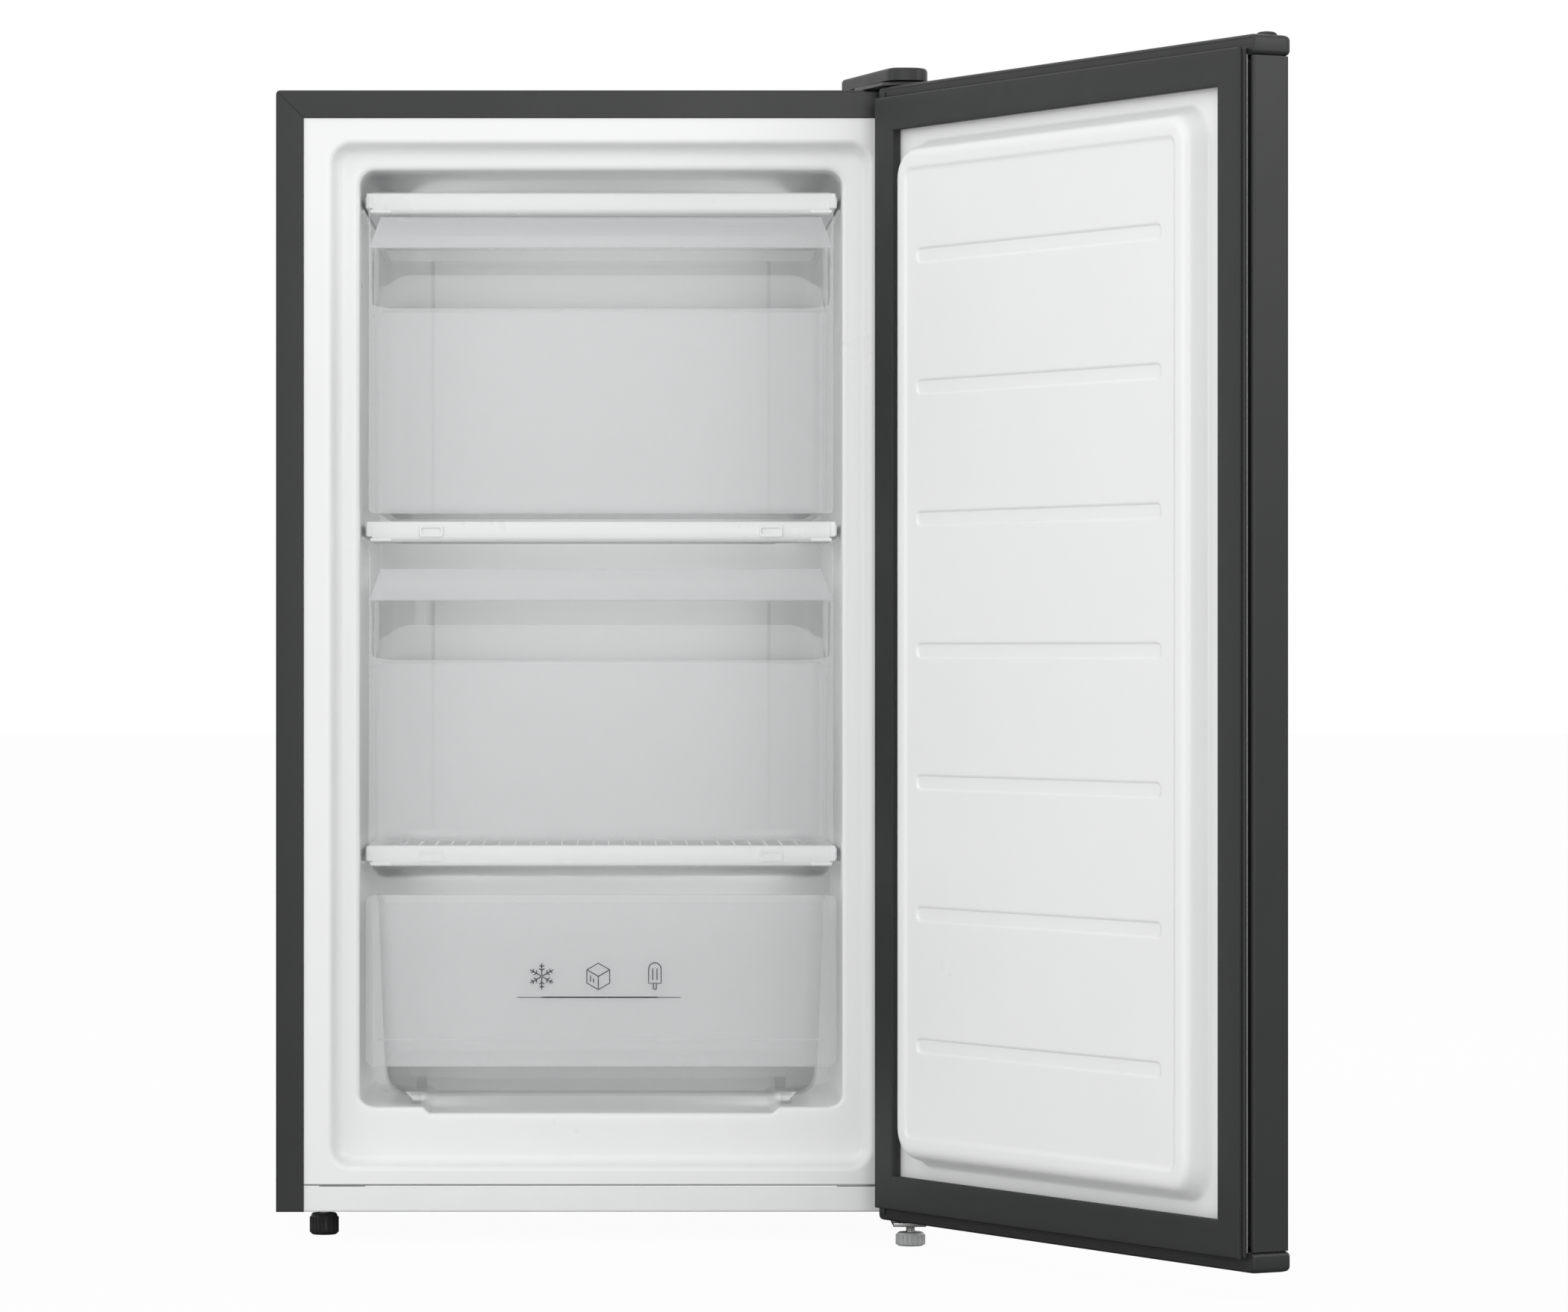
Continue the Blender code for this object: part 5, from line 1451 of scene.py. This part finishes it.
# ---- feet and hinge metal ----------------------------------------------------
def make_feet():
    """Screw feet, each a ribbed tapered pad and a threaded stud, and the rear blocks."""
    for name, body, pad, pad_finish in (("left_front_foot", "left_foot", 0.0160, CHARCOAL_MOULDED),
                                        ("right_front_foot", "right_foot", 0.0100, PALE_GREY)):
        low, high = node_box(name)
        cx, cy = (low.x + high.x) / 2.0, (low.y + high.y) / 2.0
        radius = (high.x - low.x) / 2.0
        stock = Stock()
        stock.turned([(radius * 0.80, 0.0), (radius * 0.90, 0.0006), (radius * 0.97, 0.0020),
                      (radius * 0.96, pad * 0.30), (radius * 0.93, pad * 0.84), (radius * 0.88, pad * 0.95),
                      (radius * 0.80, pad), (radius * 0.30, pad)], (cx, cy, 0.0), sides=40)
        take_tree(stock, RIB_RING, {
            "Count": 20, "Centre": Vector((cx, cy, pad * 0.46)), "Ring Radius": radius * 0.945,
            "Rib Width": 0.0014, "Rib Height": pad * 0.72, "Finish": pad_finish})
        stud = []
        z = pad - 0.0005
        while z < high.z - 0.0001:
            stud += [(0.0029, z - pad), (0.0034, z - pad + 0.0005)]
            z += 0.0010
        stud.append((0.0029, high.z - pad))
        stock.turned(stud, (cx, cy, pad), sides=20, kind=1)
        make(name + "_screw", stock, [pad_finish, PLATED], body, [name], smooth=40.0)
    for name in ("left_rear_foot", "right_rear_foot"):
        low, high = node_box(name)
        stock = Stock()
        stock.block((low.x, high.x), (low.y, high.y), (0.0, high.z), 0.0022, 3)
        for k in range(3):
            y = low.y + 0.008 + k * 0.010
            stock.block((low.x - 0.0006, high.x + 0.0006), (y, y + 0.0035), (0.0030, high.z - 0.0040), 0.0006)
        make(name + "_block", stock, RUBBER, "cabinet", [name])


def make_hinge_metal():
    """Brackets, pins, bushes and screws, all with their edges broken."""
    soften("hinge_plate", "top_hinge_bracket", BLACKED, "cabinet", 0.0004)
    soften("hinge_foot_plate", "lower_hinge_bracket", PLATED, "cabinet", 0.0004)
    for name, used, slot, body in (("top_hinge_pin", PLATED, "steel", "cabinet"),
                                   ("lower_hinge_pin", PLATED, "steel", "cabinet"),
                                   ("top_hinge_bush", GREY, "grey_plastic", "door"),
                                   ("bottom_hinge_bush", GREY, "grey_plastic", "door")):
        soften(name + "_turned", name, used, body, 0.0003)
    for hinge, count in (("top", 3), ("lower", 2)):
        for i in range(1, count + 1):
            name = "%s_hinge_screw_%d" % (hinge, i)
            soften(name + "_turned", name, PLATED, "cabinet", 0.0004)


def make_small_sheet():
    """The sheets and clips whose outline is already right, with their edges broken."""
    for name, cad_name, used, slot, edge in (
            ("floor_sheet", "base_pan", ZINC, "galvanised", 0.0002),
            ("machine_sheet", "machine_panel", ZINC, "galvanised", 0.0003),
            ("carrier_rail", "compressor_rail", ZINC, "galvanised", 0.0003),
            ("lead_inlet", "cord_gland", RUBBER, "black_rubber", 0.0007),
            *[("clip_%d" % i, "coil_bracket_%d" % i, ENAMEL, "black_enamel", 0.0006) for i in range(1, 5)],
            ("discharge_line", "discharge_pipe", COPPER, "copper", 0.0),
            ("suction_line", "suction_pipe", COPPER, "copper", 0.0)):
        soften(name, cad_name, used, "cabinet", edge)


# ---- floor, light and camera -------------------------------------------------
def make_studio():
    """A pale floor, an even white surround, soft lights round it and weak ones in the cabinet."""
    world = bpy.data.worlds.new("surround")
    bpy.context.scene.world = world
    world.use_nodes = True
    tree = world.node_tree
    tree.nodes.clear()
    out = tree.nodes.new("ShaderNodeOutputWorld")
    sky = node(tree, "ShaderNodeBackground", {"Color": (1.0, 1.0, 1.0, 1.0), "Strength": SKY})
    seen = node(tree, "ShaderNodeBackground", {"Color": (1.0, 1.0, 1.0, 1.0), "Strength": 1.0})
    path = tree.nodes.new("ShaderNodeLightPath")
    pick = node(tree, "ShaderNodeMixShader", {}, {0: path.outputs["Is Camera Ray"],
                                                  1: sky.outputs[0], 2: seen.outputs[0]})
    tree.links.new(pick.outputs[0], out.inputs["Surface"])

    mesh = bpy.data.meshes.new("studio_floor")
    mesh.from_pydata([(-30, -30, 0), (30, -30, 0), (30, 30, 0), (-30, 30, 0)], [], [(0, 1, 2, 3)])
    floor = bpy.data.objects.new("studio_floor", mesh)
    bpy.context.scene.collection.objects.link(floor)
    paper = bpy.data.materials.new("floor_paper")
    paper.use_nodes = True
    skin = paper.node_tree.nodes["Principled BSDF"]
    skin.inputs["Roughness"].default_value = 0.9
    skin.inputs["Specular IOR Level"].default_value = 0.0
    ray = paper.node_tree.nodes.new("ShaderNodeLightPath")
    tint = node(paper.node_tree, "ShaderNodeMix", {"data_type": "RGBA"}, {0: ray.outputs["Is Glossy Ray"]})
    tint.inputs[6].default_value = (FLOOR_BOUNCE, FLOOR_BOUNCE, FLOOR_BOUNCE, 1.0)
    tint.inputs[7].default_value = (FLOOR_GLOSS, FLOOR_GLOSS, FLOOR_GLOSS, 1.0)
    paper.node_tree.links.new(tint.outputs[2], skin.inputs["Base Color"])
    lit = node(paper.node_tree, "ShaderNodeEmission", {"Color": (1.0, 1.0, 1.0, 1.0), "Strength": 1.0})
    share = node(paper.node_tree, "ShaderNodeMath", {"operation": "MULTIPLY", 1: FLOOR_GLOW},
                 {0: ray.outputs["Is Camera Ray"]})
    seen_floor = node(paper.node_tree, "ShaderNodeMixShader", {},
                      {0: share.outputs[0], 1: skin.outputs[0], 2: lit.outputs[0]})
    paper.node_tree.links.new(seen_floor.outputs[0],
                              paper.node_tree.nodes["Material Output"].inputs["Surface"])
    mesh.materials.append(paper)

    def lamp(name, spot, aim, size, power):
        light = bpy.data.lights.new(name, "AREA")
        light.shape = "RECTANGLE"
        light.size, light.size_y = size
        light.energy = power
        made = bpy.data.objects.new(name, light)
        made.location = spot
        made.rotation_euler = (Vector(aim) - Vector(spot)).to_track_quat("-Z", "Y").to_euler()
        bpy.context.scene.collection.objects.link(made)

    lamp("front_softbox", (-0.45, -1.7, 1.75), (0.05, 0.0, 0.62), (1.8, 0.9), KEY)
    lamp("left_fill", (-2.6, -1.2, 1.2), (0.0, 0.0, 0.45), (1.6, 1.6), 8.5)
    lamp("cavity_fill", (0.55, -3.6, 0.75), (0.0, 0.1, 0.43), (0.9, 0.9), FILL)
    lamp("edge_light", (2.6, -1.6, 1.45), (0.35, -0.4, 0.70), (0.9, 0.6), EDGE)
    lamp("back_fill", (0.8, 2.8, 2.0), (0.0, 0.3, 0.45), (2.0, 1.6), 5.0)

    for y, z, deep, tall, power in POCKETS:
        for side in (-1, 1):
            glow = bpy.data.lights.new("cavity_glow", "AREA")
            glow.shape = "RECTANGLE"
            glow.size, glow.size_y = deep, tall
            glow.energy = power
            made = bpy.data.objects.new("cavity_glow", glow)
            made.location = MIDDLE + Vector((-side * POCKET_ASIDE, y, z))
            made.rotation_euler = Vector((side, 0.10, 0.0)).to_track_quat("-Z", "Z").to_euler()
            made.visible_camera = False
            made.visible_glossy = False
            bpy.context.scene.collection.objects.link(made)

    camera = bpy.data.cameras.new("front_camera")
    camera.sensor_width = 36.0
    camera.lens = 148.82
    camera.shift_x = 0.1167
    camera.shift_y = -0.0021
    camera.clip_end = 200.0
    made = bpy.data.objects.new("front_camera", camera)
    made.location = (MIDDLE.x, MIDDLE.y - 4.784, 0.4348)
    made.rotation_euler = (math.radians(90.0), 0.0, 0.0)
    bpy.context.scene.collection.objects.link(made)
    scene = bpy.context.scene
    scene.camera = made
    scene.view_settings.view_transform = "Standard"
    scene.view_settings.look = "None"


# ---- putting it together -----------------------------------------------------
make_studio()
for one in frame["nodes"]["cabinet_foam"].material_slots:
    one.material = FOAM
make_wrapper()
make_liner()
make_kick_rail()
make_door_skin()
make_door_panel()
make_seal()
make_cap("door_cap_above", "door_top_cap", DOOR_TOP - CAP_HIGH, True)
make_cap("door_cap_below", "door_bottom_cap", DOOR_BASE, False)
make_cap_plug()
make_door_core()
make_hinge_cover()
make_hinge_metal()
make_feet()
make_back_panel()
make_condenser()
make_compressor()
make_mounts()
make_relay_cover()
make_drier()
make_thermostat()
make_small_sheet()
for shelf, base in SHELVES.items():
    make_shelf_trim(shelf, base)
    make_shelf_wires(shelf, base)
make_tall_drawer("top_drawer", "top_drawer", 0.538, 0.538)
make_tall_drawer("middle_drawer", "middle_drawer", 0.277, 0.2945)
make_low_drawer()
